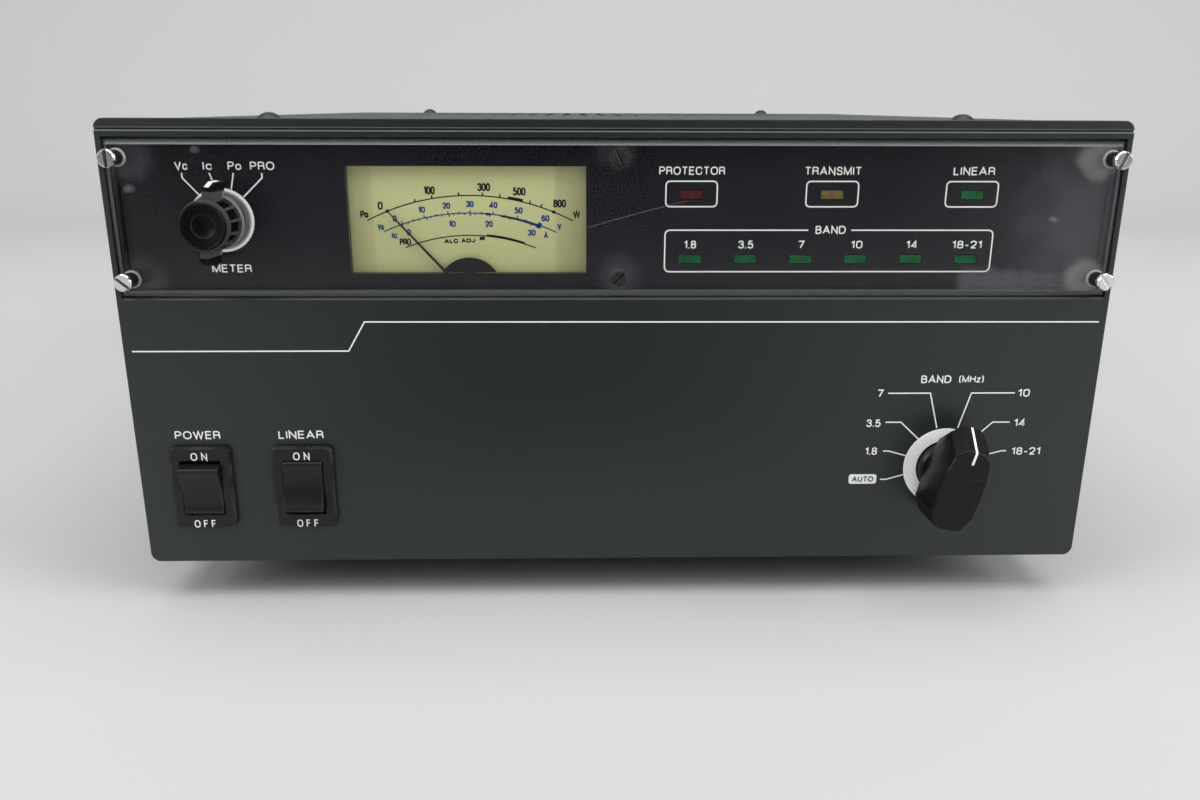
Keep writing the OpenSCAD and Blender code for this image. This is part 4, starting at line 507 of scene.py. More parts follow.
def worn_window() -> ClearFinish:
    """The display window, hazy round its screws and along its right end."""
    screw_x, screw_radius = 0.98 * 0.1472, 0.0095
    spots = [(x, z, screw_radius, haze) for x, haze in ((-screw_x, 0.15), (screw_x, 0.60)) for z in (0.1433, 0.1075)]
    # black screws in the middle
    spots += [(0.0, 0.1438, 0.0048, 0.20), (-0.001, 0.1460, 0.0080, 0.09)]
    spots += [(0.0, 0.1078, 0.0050, 0.24), (0.0, 0.1085, 0.0085, 0.11)]
    # right end, with a smear along its lower edge
    spots += [(0.1540, 0.1240, 0.0420, 0.20)]
    spots += [(0.109 + 0.006 * i, 0.1062, 0.0062, 0.24) for i in range(6)]
    # single marks
    spots += [(0.1325, 0.1255, 0.0016, 0.5), (-0.1455, 0.1343, 0.0016, 0.45), (-0.1248, 0.1457, 0.0016, 0.35)]
    return ClearFinish(
        "window_acrylic", (0.20, 0.20, 0.23), alpha=0.015, edge_alpha=0.42, spots=tuple(spots),
        edge_highlights=((0.1472, 0.5), (0.1037, 0.3)), dust=0.04,
        scratch=((-0.0100, 0.1230), (0.0, 0.1258), (0.0200, 0.1310)))


WHITE_PRINT = Finish("white_print", (0.88, 0.88, 0.84), roughness=0.6, tint=0.2, grain_scale=2600.0)
BLACK_PRINT = Finish("meter_black_print", (0.008, 0.008, 0.007), roughness=0.7, specular=0.2)
BLUE_PRINT = Finish("meter_blue_print", (0.012, 0.065, 0.19), roughness=0.7, specular=0.2)
DARK_PRINT = Finish("dark_green_print", (0.03, 0.04, 0.04), roughness=0.6)
SEAT_GREY = Finish("dial_seat_grey", (0.20, 0.195, 0.19), roughness=0.6, tint=0.3, cloud_scale=300.0, cloud_tint=0.3)

PAINT = dict(
    roughness=0.46, specular=0.42, tint=0.55, grain_scale=2300.0, grain_depth=0.00006, grain_bump=0.28,
    cloud_scale=9.0, cloud_tint=0.22, edge_radius=0.0006, wear_and_highlight=0.25, wear_and_highlight_colour=(0.12, 0.14, 0.14),
    dust_colour=(0.16, 0.18, 0.18))
FRONT_PAINT = {**PAINT, "specular": 0.6, "roughness": 0.42, "dust_colour": (0.36, 0.36, 0.34)}
DIAL = dict(
    colour=(0.92, 0.92, 0.90), roughness=0.55, tint=0.12, cloud_scale=90.0, cloud_tint=0.12, dust=0.1,
    dust_scale=600.0, dust_colour=(0.4, 0.4, 0.38))

KNOB = dict(
    tint=0.3, grain_scale=1800.0, edge_radius=0.00035, dust_scale=520.0, dust_size=0.10,
    dust_colour=(0.18, 0.18, 0.17), rough_spread=0.2)
SOCKET = dict(colour=(0.72, 0.71, 0.66), roughness=0.42, tint=0.05)

FINISHES: tuple[tuple[Surface, tuple[str, ...]], ...] = (
    # cabinet
    # the front enamel's extra paints a highlight along the lip's groove
    (Finish("front_panel_enamel", (0.0092, 0.0140, 0.0150), dust=0.09, dust_size=0.08, extra=groove_painted_highlight,
            **FRONT_PAINT), ("front_panel",)),
    (Finish("cover_enamel", (0.0150, 0.0200, 0.0210), dust=0.10, dust_size=0.10, **PAINT),
     ("top_cover", "bottom_cover")),
    (Finish("rear_panel_enamel", (0.0150, 0.0190, 0.0200), dust=0.06, dust_size=0.08, **PAINT), ("rear_panel",)),
    (Finish("zinc_plated_sheet", (0.52, 0.51, 0.46), roughness=0.36, metallic=1.0, tint=0.14, cloud_scale=60.0,
            cloud_tint=0.25, rough_spread=0.25, edge_radius=0.0003, scratches=0.3, dust_colour=(0.3, 0.3, 0.28)),
     ("chassis", "shield_plate", "heat_sink_brackets")),
    (Finish("black_oxide_screw", (0.030, 0.031, 0.030), roughness=0.38, metallic=0.4, tint=0.3, edge_radius=0.00025,
            wear_and_highlight=0.6, wear_and_highlight_colour=(0.25, 0.25, 0.24)), ("cabinet_screws", "window_mid_screws")),
    (Finish("foot_rubber", (0.022, 0.022, 0.022), roughness=0.78, tint=0.3, grain_scale=1100.0, grain_bump=0.3,
            dust=0.25, dust_colour=(0.2, 0.2, 0.19)), ("feet",)),
    # display window
    (Finish("display_sheet_black", (0.0082, 0.0084, 0.0115), roughness=0.22, specular=0.45, tint=0.2,
            grain_bump=0.01, cloud_tint=0.2, dust=0.05, dust_size=0.08, dust_colour=(0.42, 0.42, 0.40)),
     ("display_panel",)),
    (Finish("collar_black", (0.0075, 0.0078, 0.0085), roughness=0.4, specular=0.3, extra=lit_rim),
     ("window_collars",)),
    (worn_window(), ("display_window",)),
    (Finish("screw_chrome", (0.78, 0.78, 0.80), roughness=0.14, metallic=1.0, tint=0.08, grain_bump=0.05,
            rough_spread=0.14, edge_radius=0.0002, scratches=0.25, dust_colour=(0.3, 0.3, 0.3)), ("window_screws",)),
    # meter
    # the meter face's extra paints light towards its top and shade at both ends
    (Finish("meter_face_enamel", (0.53, 0.536, 0.254), roughness=0.5, tint=0.05, grain_scale=900.0, cloud_scale=30.0,
            cloud_tint=0.06, extra=meter_face_painted_light), ("meter_scale_plate",)),
    (Finish("meter_case_ivory", (0.70, 0.68, 0.58), roughness=0.4, tint=0.06, edge_radius=0.0003), ("meter_case",)),
    (Finish("cover_disc_black", (0.012, 0.011, 0.011), roughness=0.35, tint=0.5, cloud_tint=0.4),
     ("meter_cover_disc",)),
    (ClearFinish("meter_clear_front", (0.2, 0.2, 0.15), alpha=0.01), ("meter_glass",)),
    (Finish("ground_steel", (0.40, 0.40, 0.41), roughness=0.3, metallic=1.0, tint=0.2), ("meter_magnet",)),
    (Finish("needle_black", (0.014, 0.014, 0.014), roughness=0.5), ("meter_needle",)),
    (Finish("lamp_glass", (0.70, 0.64, 0.40), roughness=0.12, coat=0.6, tint=0.05), ("meter_lamps",)),
    # indicators
    (lens("red_lens", (0.085, 0.008, 0.010), (0.045, 0.005, 0.006)), ("protector_led",)),
    (lens("yellow_lens", (0.17, 0.115, 0.035), (0.10, 0.07, 0.02)), ("transmit_led",)),
    (lens("green_lens", (0.006, 0.105, 0.030), (0.004, 0.05, 0.016)), ("linear_led", "band_leds")),
    # selectors and switches
    (Finish("meter_dial_white", extra=grey_slope, **DIAL), ("meter_dial_ring",)),
    (Finish("dial_white", **DIAL), ("band_dial_ring",)),
    # painted highlights: the fluted knob's lighter edge colour along its cap's rims
    (Finish("fluted_black_moulding", (0.0028, 0.0028, 0.0034), roughness=0.42, specular=0.10, grain_bump=0.08,
            wear_and_highlight=0.8, wear_and_highlight_colour=(0.10, 0.10, 0.10), dust=0.14, extra=fluted_knob, **KNOB), ("meter_knob",)),
    (Finish("knob_black_moulding", (0.0055, 0.0055, 0.0063), roughness=0.30, specular=0.22, grain_bump=0.10,
            wear_and_highlight=0.2, wear_and_highlight_colour=(0.07, 0.07, 0.07), dust=0.12, scratches=0.06, **KNOB), ("band_knob",)),
    # painted highlights: the lighter edge colour along the edges of the bezels and rockers
    (Finish("switch_black_moulding", (0.0080, 0.0084, 0.0090), roughness=0.36, specular=0.32, tint=0.3,
            grain_scale=2000.0, grain_bump=0.12, edge_radius=0.00055, wear_and_highlight=0.6, wear_and_highlight_colour=(0.09, 0.09, 0.09),
            dust=0.30, dust_scale=420.0, dust_size=0.12, dust_colour=(0.26, 0.255, 0.23)),
     ("power_switch_housing", "power_rocker", "linear_switch_housing", "linear_rocker")),
    (Finish("brown_laminate", (0.22, 0.11, 0.045), roughness=0.45, tint=0.3, grain_scale=900.0),
     ("meter_switch_body", "band_switch_body")),
    (Finish("nickel_plate", (0.62, 0.61, 0.58), roughness=0.26, metallic=1.0, tint=0.12, edge_radius=0.0003,
            scratches=0.3, dust_colour=(0.3, 0.29, 0.27)),
     ("meter_switch_rotor", "band_switch_rotor", "switch_nuts", "coax_sockets", "signal_sockets")),
    (Finish("plain_brass", (0.60, 0.42, 0.17), roughness=0.3, metallic=1.0, tint=0.12, edge_radius=0.0002),
     ("switch_terminals", "board_standoffs")),
    # inside
    (Finish("solder_mask", (0.012, 0.10, 0.035), roughness=0.28, coat=0.4, tint=0.2, cloud_scale=120.0,
            cloud_tint=0.2, edge_radius=0.0002), ("led_board", "control_board", "filter_board", "pa_boards")),
    (Finish("ferrite", (0.035, 0.033, 0.032), roughness=0.55, tint=0.4, grain_scale=900.0, grain_bump=0.3),
     ("pa_transformers", "filter_coils")),
    (Finish("relay_case", (0.55, 0.54, 0.40), roughness=0.35, tint=0.06, edge_radius=0.0005), ("filter_relays",)),
    (Finish("black_anodising", (0.020, 0.020, 0.021), roughness=0.42, metallic=0.7, tint=0.25, grain_scale=1700.0,
            edge_radius=0.0003, wear_and_highlight=0.3, wear_and_highlight_colour=(0.2, 0.2, 0.2)), ("heat_sink",)),
    (Finish("device_ceramic", (0.74, 0.70, 0.60), roughness=0.35, tint=0.06), ("pa_transistors",)),
    (Finish("can_sleeve", (0.012, 0.03, 0.16), roughness=0.25, coat=0.3, tint=0.08, edge_radius=0.0006),
     ("reservoir_capacitors",)),
    (Finish("lead_jacket", (0.20, 0.012, 0.010), roughness=0.5, tint=0.1), ("inner_leads",)),
    # back
    (Finish("fan_black_moulding", (0.018, 0.018, 0.019), roughness=0.42, tint=0.2, edge_radius=0.0004, dust=0.2,
            dust_scale=380.0, dust_size=0.12, dust_colour=(0.22, 0.21, 0.19)),
     ("left_fan_frame", "right_fan_frame", "left_fan_rotor", "right_fan_rotor")),
    (Finish("guard_wire", (0.58, 0.58, 0.58), roughness=0.24, metallic=1.0, tint=0.10, scratches=0.2),
     ("fan_guards",)),
    (Finish("socket_white", edge_radius=0.0004, **SOCKET), ("socket_insulators",)),
    (Finish("power_socket_white", extra=brass_blades, **SOCKET), ("power_socket",)),
)


def dress_solids() -> None:
    """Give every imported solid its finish."""
    for finish, nodes in FINISHES:
        material = finish.material()
        for node in nodes:
            solid = frame["nodes"][node]
            if not solid.material_slots:
                solid.data.materials.append(material)
            for slot in solid.material_slots:
                slot.material = material


# ---------- Lines ----------


def arc_centre(a: Point, b: Point, c: Point) -> Point:
    """Centre of the circle through three points."""
    ax, ay, bx, by, cx, cy = *a, *b, *c
    d = 2 * (ax * (by - cy) + bx * (cy - ay) + cx * (ay - by))
    a2, b2, c2 = ax * ax + ay * ay, bx * bx + by * by, cx * cx + cy * cy
    return (
        (a2 * (by - cy) + b2 * (cy - ay) + c2 * (ay - by)) / d,
        (a2 * (cx - bx) + b2 * (ax - cx) + c2 * (bx - ax)) / d,
    )


def arc_through(a: Point, b: Point, c: Point, steps: int = 40) -> list[Point]:
    """Points of the circular arc from a through b to c."""
    centre = arc_centre(a, b, c)
    radius = math.dist(centre, a)
    start = math.atan2(a[1] - centre[1], a[0] - centre[0])
    end = math.atan2(c[1] - centre[1], c[0] - centre[0])
    return [
        (centre[0] + radius * math.cos(t), centre[1] + radius * math.sin(t))
        for t in (start + (end - start) * i / steps for i in range(steps + 1))
    ]


def rounded_box(x0: float, x1: float, z0: float, z1: float, radius: float, gap: Optional[Point] = None) -> list[Point]:
    """Outline of a rectangle with round corners, anticlockwise from the top.

    With a gap in the upper side, it runs from the gap's left end round to its right end.
    """
    points: list[Point] = [(gap[0], z1)] if gap else []
    for x, z, start in ((x0, z1, 90), (x0, z0, 180), (x1, z0, 270), (x1, z1, 0)):
        cx = x + radius if x == x0 else x - radius
        cz = z + radius if z == z0 else z - radius
        for i in range(7):
            t = math.radians(start + 15 * i)
            points.append((cx + radius * math.cos(t), cz + radius * math.sin(t)))
    if gap:
        points.append((gap[1], z1))
    return points


# Skeletons of plain sans letters, one unit high: width, then strokes after each bar. A stroke may
# begin with r and the radius of its corners, and with o where it closes on itself.
LETTERS = {
    "A": ".78 | 0,0 .39,1 .78,0 | .14,.33 .64,.33",
    "B": ".62 | 0,0 0,1 | r.24 0,1 .56,1 .56,.53 0,.53 | r.26 0,.53 .62,.53 .62,0 0,0",
    "C": ".70 | r.35 .70,.70 .70,1 0,1 0,0 .70,0 .70,.30",
    "D": ".70 | 0,0 0,1 | r.36 0,1 .70,1 .70,0 0,0",
    "E": ".56 | .56,1 0,1 0,0 .56,0 | 0,.53 .52,.53",
    "F": ".54 | .54,1 0,1 0,0 | 0,.53 .48,.53",
    "G": ".74 | r.35 .70,.72 .70,1 0,1 0,0 .70,0 .72,.30 | .40,.46 .74,.46 .74,0",
    "H": ".66 | 0,0 0,1 | .66,0 .66,1 | 0,.53 .66,.53",
    "I": "0 | 0,0 0,1",
    "J": ".46 | r.23 .46,1 .46,0 0,0 0,.28",
    "L": ".50 | 0,1 0,0 .50,0",
    "M": ".80 | 0,0 0,1 .40,.04 .80,1 .80,0",
    "N": ".66 | 0,0 0,1 .66,0 .66,1",
    "O": ".78 | o r.39 0,0 .78,0 .78,1 0,1",
    "P": ".60 | 0,0 0,1 | r.27 0,1 .60,1 .60,.46 0,.46",
    "R": ".62 | 0,0 0,1 | r.25 0,1 .60,1 .60,.50 0,.50 | r.14 .30,.50 .59,.50 .62,0",
    "S": ".60 | r.25 .58,.73 .58,1 .02,1 .02,.54 .60,.50 .60,0 0,0 0,.27",
    "T": ".62 | 0,1 .62,1 | .31,1 .31,0",
    "U": ".66 | r.33 0,1 0,0 .66,0 .66,1",
    "V": ".72 | 0,1 .36,0 .72,1",
    "W": "1.02 | 0,1 .26,0 .51,1 .76,0 1.02,1",
    "Y": ".68 | 0,1 .34,.45 .68,1 | .34,.45 .34,0",
    "c": ".46 | r.24 .46,.50 .46,.70 0,.70 0,0 .46,0 .46,.20",
    "o": ".52 | o r.26 0,0 .52,0 .52,.70 0,.70",
    "z": ".42 | 0,.70 .42,.70 0,0 .42,0",
    "0": ".54 | o r.27 0,0 .54,0 .54,1 0,1",
    "1": ".26 | 0,.76 .26,.97 .26,0",
    "2": ".54 | r.26 0,.70 0,1 .54,1 .54,.56 .03,.02 | 0,0 .54,0",
    "3": ".56 | r.22 .02,.76 .02,1 .52,1 .52,.54 .20,.54 | r.26 .20,.54 .56,.54 .56,0 0,0 0,.26",
    "4": ".58 | .42,0 .42,.98 .01,.27 .58,.27",
    "5": ".54 | .50,1 .10,1 .04,.48 | r.26 .04,.50 .16,.62 .54,.62 .54,0 0,0 0,.24",
    "6": ".54 | o r.27 0,0 .54,0 .54,.60 0,.60 | r.26 0,.30 0,1 .50,1 .50,.80",
    "7": ".52 | 0,1 .52,1 .18,0",
    "8": ".56 | o r.25 0,0 .56,0 .56,.53 0,.53 | o r.22 .03,.53 .53,.53 .53,1 .03,1",
    ".": ".02 | -.05,.0 .07,.0",
    "-": ".32 | 0,.38 .32,.38",
    "(": ".14 | r.3 .14,1.12 0,.85 0,.15 .14,-.12",
    ")": ".14 | r.3 0,1.12 .14,.85 .14,.15 0,-.12",
    " ": ".20",
}


def letter(sign: str) -> tuple[float, list[tuple[list[Point], bool]]]:
    """Width of one letter, and the points of each stroke with whether it closes."""
    width, *strokes = LETTERS[sign].split("|")
    lines = []
    for stroke in strokes:
        words = stroke.split()
        closed = "o" in words
        radius = sum(float(word[1:]) for word in words if word.startswith("r"))
        points = [tuple(float(v) for v in word.split(",")) for word in words if "," in word]
        lines.append((rounded(points, radius, closed), closed))
    return float(width), lines


def rounded(points: Sequence[Point], radius: float, closed: bool) -> list[Point]:
    """Round a line's corners, each by the radius, or by less where a side is short."""
    if radius <= 0:
        return list(points)
    count, steps, least = len(points), 6, 1e-4
    result: list[Point] = []
    for i in range(count):
        if not closed and i in (0, count - 1):
            result.append(points[i])
            continue
        corner = Vector(points[i])
        before, after = Vector(points[i - 1]) - corner, Vector(points[(i + 1) % count]) - corner
        room_before = before.length * (1.0 if not closed and i == 1 else 0.5)
        room_after = after.length * (1.0 if not closed and i == count - 2 else 0.5)
        half = before.angle(after) / 2
        cut = min(radius / math.tan(half), room_before, room_after)
        arc = cut * math.tan(half)
        start, end = corner + before.normalized() * cut, corner + after.normalized() * cut
        centre = corner + (before.normalized() + after.normalized()).normalized() * (arc / math.sin(half))
        a, b = start - centre, end - centre
        turn = math.atan2(a.x * b.y - a.y * b.x, a.dot(b))
        for k in range(steps + 1):
            c, s = math.cos(turn * k / steps), math.sin(turn * k / steps)
            spot = (centre.x + a.x * c - a.y * s, centre.y + a.x * s + a.y * c)
            if not result or math.dist(result[-1], spot) > least:
                result.append(spot)
    if closed and math.dist(result[0], result[-1]) < least:
        result.pop()
    return result


# ---------- Printed pieces ----------


class MeshMaker:
    """Gathers closed shapes, in millimetres of the panel's frame, into one mesh."""

    def __init__(self) -> None:
        """Start empty."""
        self.vertices: list[Vector] = []
        self.faces: list[tuple[int, ...]] = []

    def add(self, vertices: Iterable[Vector], faces: Iterable[Sequence[int]]) -> None:
        """Add vertices and the faces among them."""
        start = len(self.vertices)
        self.vertices.extend(vertices)
        self.faces.extend(tuple(start + i for i in face) for face in faces)

    def piece(self, name: str, body: Body, finish: Finish) -> bpy.types.Object:
        """Turn what was gathered into a named piece that rides on a body."""
        mesh = bpy.data.meshes.new(name)
        mesh.from_pydata([PANEL.at(v.x, v.y, v.z) for v in self.vertices], [], self.faces)
        mesh.validate()
        mesh.update()
        mesh.materials.append(finish.material())
        thing = in_scene(name, mesh)
        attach(thing, body.value)
        LOG.info("piece %s: %d faces", name, len(mesh.polygons))
        return thing


class Print(MeshMaker):
    """Flat printed shapes that stand just proud of one upright plane."""

    def __init__(self, depth: float, thick: float = 0.04) -> None:
        """Set the plane's depth behind the panel's face, and how far the print stands proud."""
        super().__init__()
        self.front = depth - thick
        self.back = depth

    def slab(self, outline: Sequence[Point]) -> None:
        """Add one flat shape inside an outline that has no hollow corners."""
        n = len(outline)
        vertices = [Vector((x, y, z)) for y in (self.front, self.back) for x, z in outline]
        faces: list[tuple[int, ...]] = [tuple(range(n)), tuple(range(2 * n - 1, n - 1, -1))]
        faces += [(i, i + n, (i + 1) % n + n, (i + 1) % n) for i in range(n)]
        self.add(vertices, faces)

    def line(self, points: Sequence[Point], width: float, closed: bool = False) -> None:
        """Add a line of even width with mitred corners."""
        count, sharpest = len(points), 0.35
        left: list[Point] = []
        right: list[Point] = []
        for i, (x, z) in enumerate(points):
            px, pz = points[i - 1] if closed or i > 0 else (2 * x - points[1][0], 2 * z - points[1][1])
            last = i == count - 1 and not closed
            qx, qz = (2 * x - px, 2 * z - pz) if last else points[(i + 1) % count]
            a = Vector((x - px, z - pz)).normalized()
            b = Vector((qx - x, qz - z)).normalized()
            mitre = Vector((-a.y - b.y, a.x + b.x)).normalized()
            reach = width / 2 / max(sharpest, mitre.dot(Vector((-a.y, a.x))))
            left.append((x + mitre.x * reach, z + mitre.y * reach))
            right.append((x - mitre.x * reach, z - mitre.y * reach))
        vertices = [Vector((x, y, z)) for y in (self.front, self.back) for side in (left, right) for x, z in side]
        # first vertex of each run: front left, front right, back left, back right
        fl, fr, bl, br = 0, count, 2 * count, 3 * count
        faces: list[tuple[int, ...]] = []
        for i in range(count if closed else count - 1):
            j = (i + 1) % count
            faces += [
                (fl + i, fr + i, fr + j, fl + j), (bl + j, br + j, br + i, bl + i),
                (fl + j, bl + j, bl + i, fl + i), (fr + i, br + i, br + j, fr + j),
            ]
        if not closed:
            e = count - 1
            faces += [(fl, bl, br, fr), (fl + e, fr + e, br + e, bl + e)]
        self.add(vertices, faces)

    def words(
        self, words: str, x: float, z: float, height: float, width: Optional[float] = None,
        stroke: float = 0.36, gap: float = 0.30, turn: float = 0.0,
    ) -> None:
        """Add lettering about a middle, fitted to a height and, if given, a width.

        Args:
            words: What is written.
            x: Middle of the words across.
            z: Middle of the letters' height.
            height: Height of the letters.
            width: Width of the whole, or None for the letters' own.
            stroke: Width of the strokes.
            gap: Distance between letters, in letter heights.
            turn: Turn in degrees, anticlockwise.
        """
        glyphs = [letter(sign) for sign in words]
        total = sum(w for w, _ in glyphs) + gap * (len(glyphs) - 1)
        up = height - stroke
        across = (width - stroke) / total if width else up
        start = -total / 2
        c, s = math.cos(math.radians(turn)), math.sin(math.radians(turn))
        front, hair = self.front, 0.006
        for wide, strokes in glyphs:
            for n, (points, closed) in enumerate(strokes):
                flat = [((start + px) * across, (pz - 0.5) * up) for px, pz in points]
                # strokes that cross lie a hair apart, so that no two faces coincide
                self.front = front - hair * n
                self.line([(x + lx * c - lz * s, z + lx * s + lz * c) for lx, lz in flat], stroke, closed)
            start += wide + gap
        self.front = front

    def labels(self, rows: Iterable[tuple], height: float, **settings: float) -> None:
        """Add lettering of one height from rows of words, x, z and width."""
        for words, x, z, width in rows:
            self.words(words, x, z, height, width, **settings)


def in_scene(name: str, data: bpy.types.ID) -> bpy.types.Object:
    """Put a new object with its data into the scene."""
    thing = bpy.data.objects.new(name, data)
    bpy.context.scene.collection.objects.link(thing)
    return thing


def on_knob(centre: Point, angle: float, half: float, layers: Sequence[Sequence[Point]]) -> MeshMaker:
    """Make a thin painted line that runs along a knob's pointer.

    Args:
        centre: The knob's axis.
        angle: Turn of the pointer in degrees.
        half: Half the line's width.
        layers: Distance from the axis and depth of each point, for both faces of the line.

    Returns:
        The line.
    """
    c, s = math.cos(math.radians(angle)), math.sin(math.radians(angle))
    vertices = [
        Vector((centre[0] + reach * c - side * s, y, centre[1] + reach * s + side * c))
        for layer in layers for reach, y in layer for side in (-half, half)
    ]
    other = 2 * len(layers[0])
    last = other - 2
    faces = [(0, other, other + 1, 1), (last, last + 1, other + last + 1, other + last)]
    for i in range(0, last, 2):
        quad = (i, i + 1, i + 3, i + 2)
        faces += [
            quad, tuple(other + v for v in reversed(quad)),
            (i, i + 2, other + i + 2, other + i), (i + 1, other + i + 1, other + i + 3, i + 3),
        ]
    paint = MeshMaker()
    paint.add(vertices, faces)
    return paint


# ---------- Sub-assemblies ----------

PANEL_FACE = 0.0
SHEET_FACE = 4.2
PLATE_FACE = 7.6
BEZEL_FACE = -2.0
REAR_FACE = 365.0


def front_line() -> None:
    """Print the broken line across the front panel."""
    low, high, width = 71.0, 80.2, 0.42
    sheet = Print(PANEL_FACE)
    sheet.line([(-150.4, low), (-83.8, low), (-78.4, high), (150.8, high - 0.4)], width)
    sheet.piece("front_panel_line", Body.CABINET, WHITE_PRINT)


def ticks(sheet: Print, arc: tuple[Point, Point, Point], rows: Iterable[tuple]) -> None:
    """Add ticks square to an arc.

    Args:
        sheet: Where they are printed.
        arc: Three points of the arc.
        rows: Places across, length towards the arc's centre, length away from it, and width.
    """
    cx, cz = arc_centre(*arc)
    radius = math.dist((cx, cz), arc[0])
    for places, inner, outer, width in rows:
        for x in places:
            z = cz + math.sqrt(radius * radius - (x - cx) ** 2)
            ux, uz = (x - cx) / radius, (z - cz) / radius
            sheet.line([(x - ux * inner, z - uz * inner), (x + ux * outer, z + uz * outer)], width)


def black_scale() -> None:
    """Print the meter's power scale and its protection scale in black."""
    sheet = Print(PLATE_FACE)
    power = ((-77.1, 110.3), (-45.8, 117.9), (-14.0, 110.2))
    sheet.line(arc_through(*power), 0.36)
    ticks(sheet, power, (
        ((-62.2, -57.0, -48.9, -41.7, -36.4, -27.3, -23.8), 0.0, 1.0, 0.42), ((-70.8, -19.9), 0.45, 0.5, 0.9)))
    sheet.line(arc_through((-33.9, 117.2), (-31.6, 116.9), (-29.3, 116.4), 6), 0.75)
    sheet.labels((
        ("0", -72.9, 114.8, None), ("100", -57.8, 119.4, 3.4), ("300", -41.2, 120.4, 3.9),
        ("500", -30.4, 119.1, 3.9), ("800", -18.1, 115.5, 3.9)), 2.45, stroke=0.50)
    sheet.words("Po", -77.9, 112.2, 2.2, 2.5, stroke=0.50)
    sheet.words("W", -12.9, 112.2, 2.3, 2.3, stroke=0.50)
    lower = ((-65.8, 102.0), (-45.8, 105.8), (-25.6, 101.9))
    sheet.line(arc_through(*lower), 0.34)
    sheet.line(arc_through((-40.7, 105.75), (-34.5, 104.9), (-28.9, 103.3), 10), 0.65)
    ticks(sheet, lower, (((-61.9,), 0.5, 0.2, 0.8),))
    sheet.slab([(-42.9, 104.3), (-41.3, 104.4), (-41.3, 105.4), (-42.9, 105.3)])
    sheet.words("PRO", -65.8, 103.8, 2.1, 3.5, stroke=0.42)
    sheet.words("ALC ADJ", -49.1, 104.1, 1.35, 9.6, stroke=0.40, turn=2.0)
    sheet.piece("meter_black_scale", Body.CABINET, BLACK_PRINT)


def blue_scale() -> None:
    """Print the meter's voltage and current scales in blue."""
    sheet = Print(PLATE_FACE)
    arc = ((-72.2, 106.9), (-45.8, 112.6), (-19.1, 106.7))
    sheet.line(arc_through(*arc), 0.36)
    ticks(sheet, arc, (
        ((-66.4, -59.6, -52.3, -45.6, -38.6, -31.2), 0.0, 0.9, 0.34),
        ((-63.0, -56.0, -49.0, -42.1, -34.9, -28.5), 0.4, 0.5, 0.30),
        ((-64.7, -61.3, -57.8, -54.2, -50.6, -47.3, -43.9, -40.4), 0.6, 0.0, 0.30),
        ((-66.6, -59.0, -52.0, -45.5, -39.6, -33.4, -26.8), 0.9, 0.0, 0.34), ((-40.0,), 0.4, 0.3, 1.6)))
    sheet.line(arc_through((-36.2, 111.7), (-30.2, 110.4), (-24.8, 108.6), 10), 0.65)
    sheet.slab([(-25.5, 108.2), (-24.1, 107.8), (-23.5, 109.3), (-24.6, 109.9)])
    sheet.labels((
        ("0", -68.7, 110.9, None), ("10", -60.4, 113.6, 2.2), ("20", -52.8, 114.8, 2.4), ("30", -45.6, 115.3, 2.4),
        ("40", -38.4, 115.0, 2.5), ("50", -30.7, 113.4, 2.5), ("60", -22.5, 111.0, 2.5), ("0", -64.6, 106.7, None),
        ("10", -51.2, 109.3, 2.2), ("20", -39.9, 109.3, 2.4), ("30", -26.8, 106.6, 2.5), ("Vc", -73.1, 108.4, 2.1),
        ("Ic", -69.0, 105.8, 1.8), ("V", -18.2, 108.5, 1.3), ("A", -22.4, 105.8, 1.3)), 1.95, stroke=0.46)
    sheet.piece("meter_blue_scale", Body.CABINET, BLUE_PRINT)


def indicator_field() -> None:
    """Print the indicators' boxes and names."""
    box_line, first, pitch = 0.40, 22.0, 17.2
    sheet = Print(SHEET_FACE)
    for left, right in ((14.2, 29.8), (57.0, 72.9), (99.9, 115.8)):
        sheet.line(rounded_box(left, right, 114.9, 122.5, 1.3), box_line, closed=True)
    sheet.line(rounded_box(14.2, 115.8, 95.0, 107.8, 1.5, gap=(58.3, 71.6)), box_line)
    sheet.labels((
        ("PROTECTOR", 22.0, 125.6, 19.9), ("TRANSMIT", 64.8, 125.6, 17.3), ("LINEAR", 107.9, 125.6, 12.7),
        ("BAND", 65.2, 107.9, 9.3)), 2.45)
    bands = (("1.8", 3.7), ("3.5", 4.6), ("7", 1.9), ("10", 3.6), ("14", 3.5), ("18-21", 9.2))
    sheet.labels(((words, first + pitch * i, 103.4, width) for i, (words, width) in enumerate(bands)), 2.4)
    sheet.piece("indicator_lettering", Body.CABINET, WHITE_PRINT)


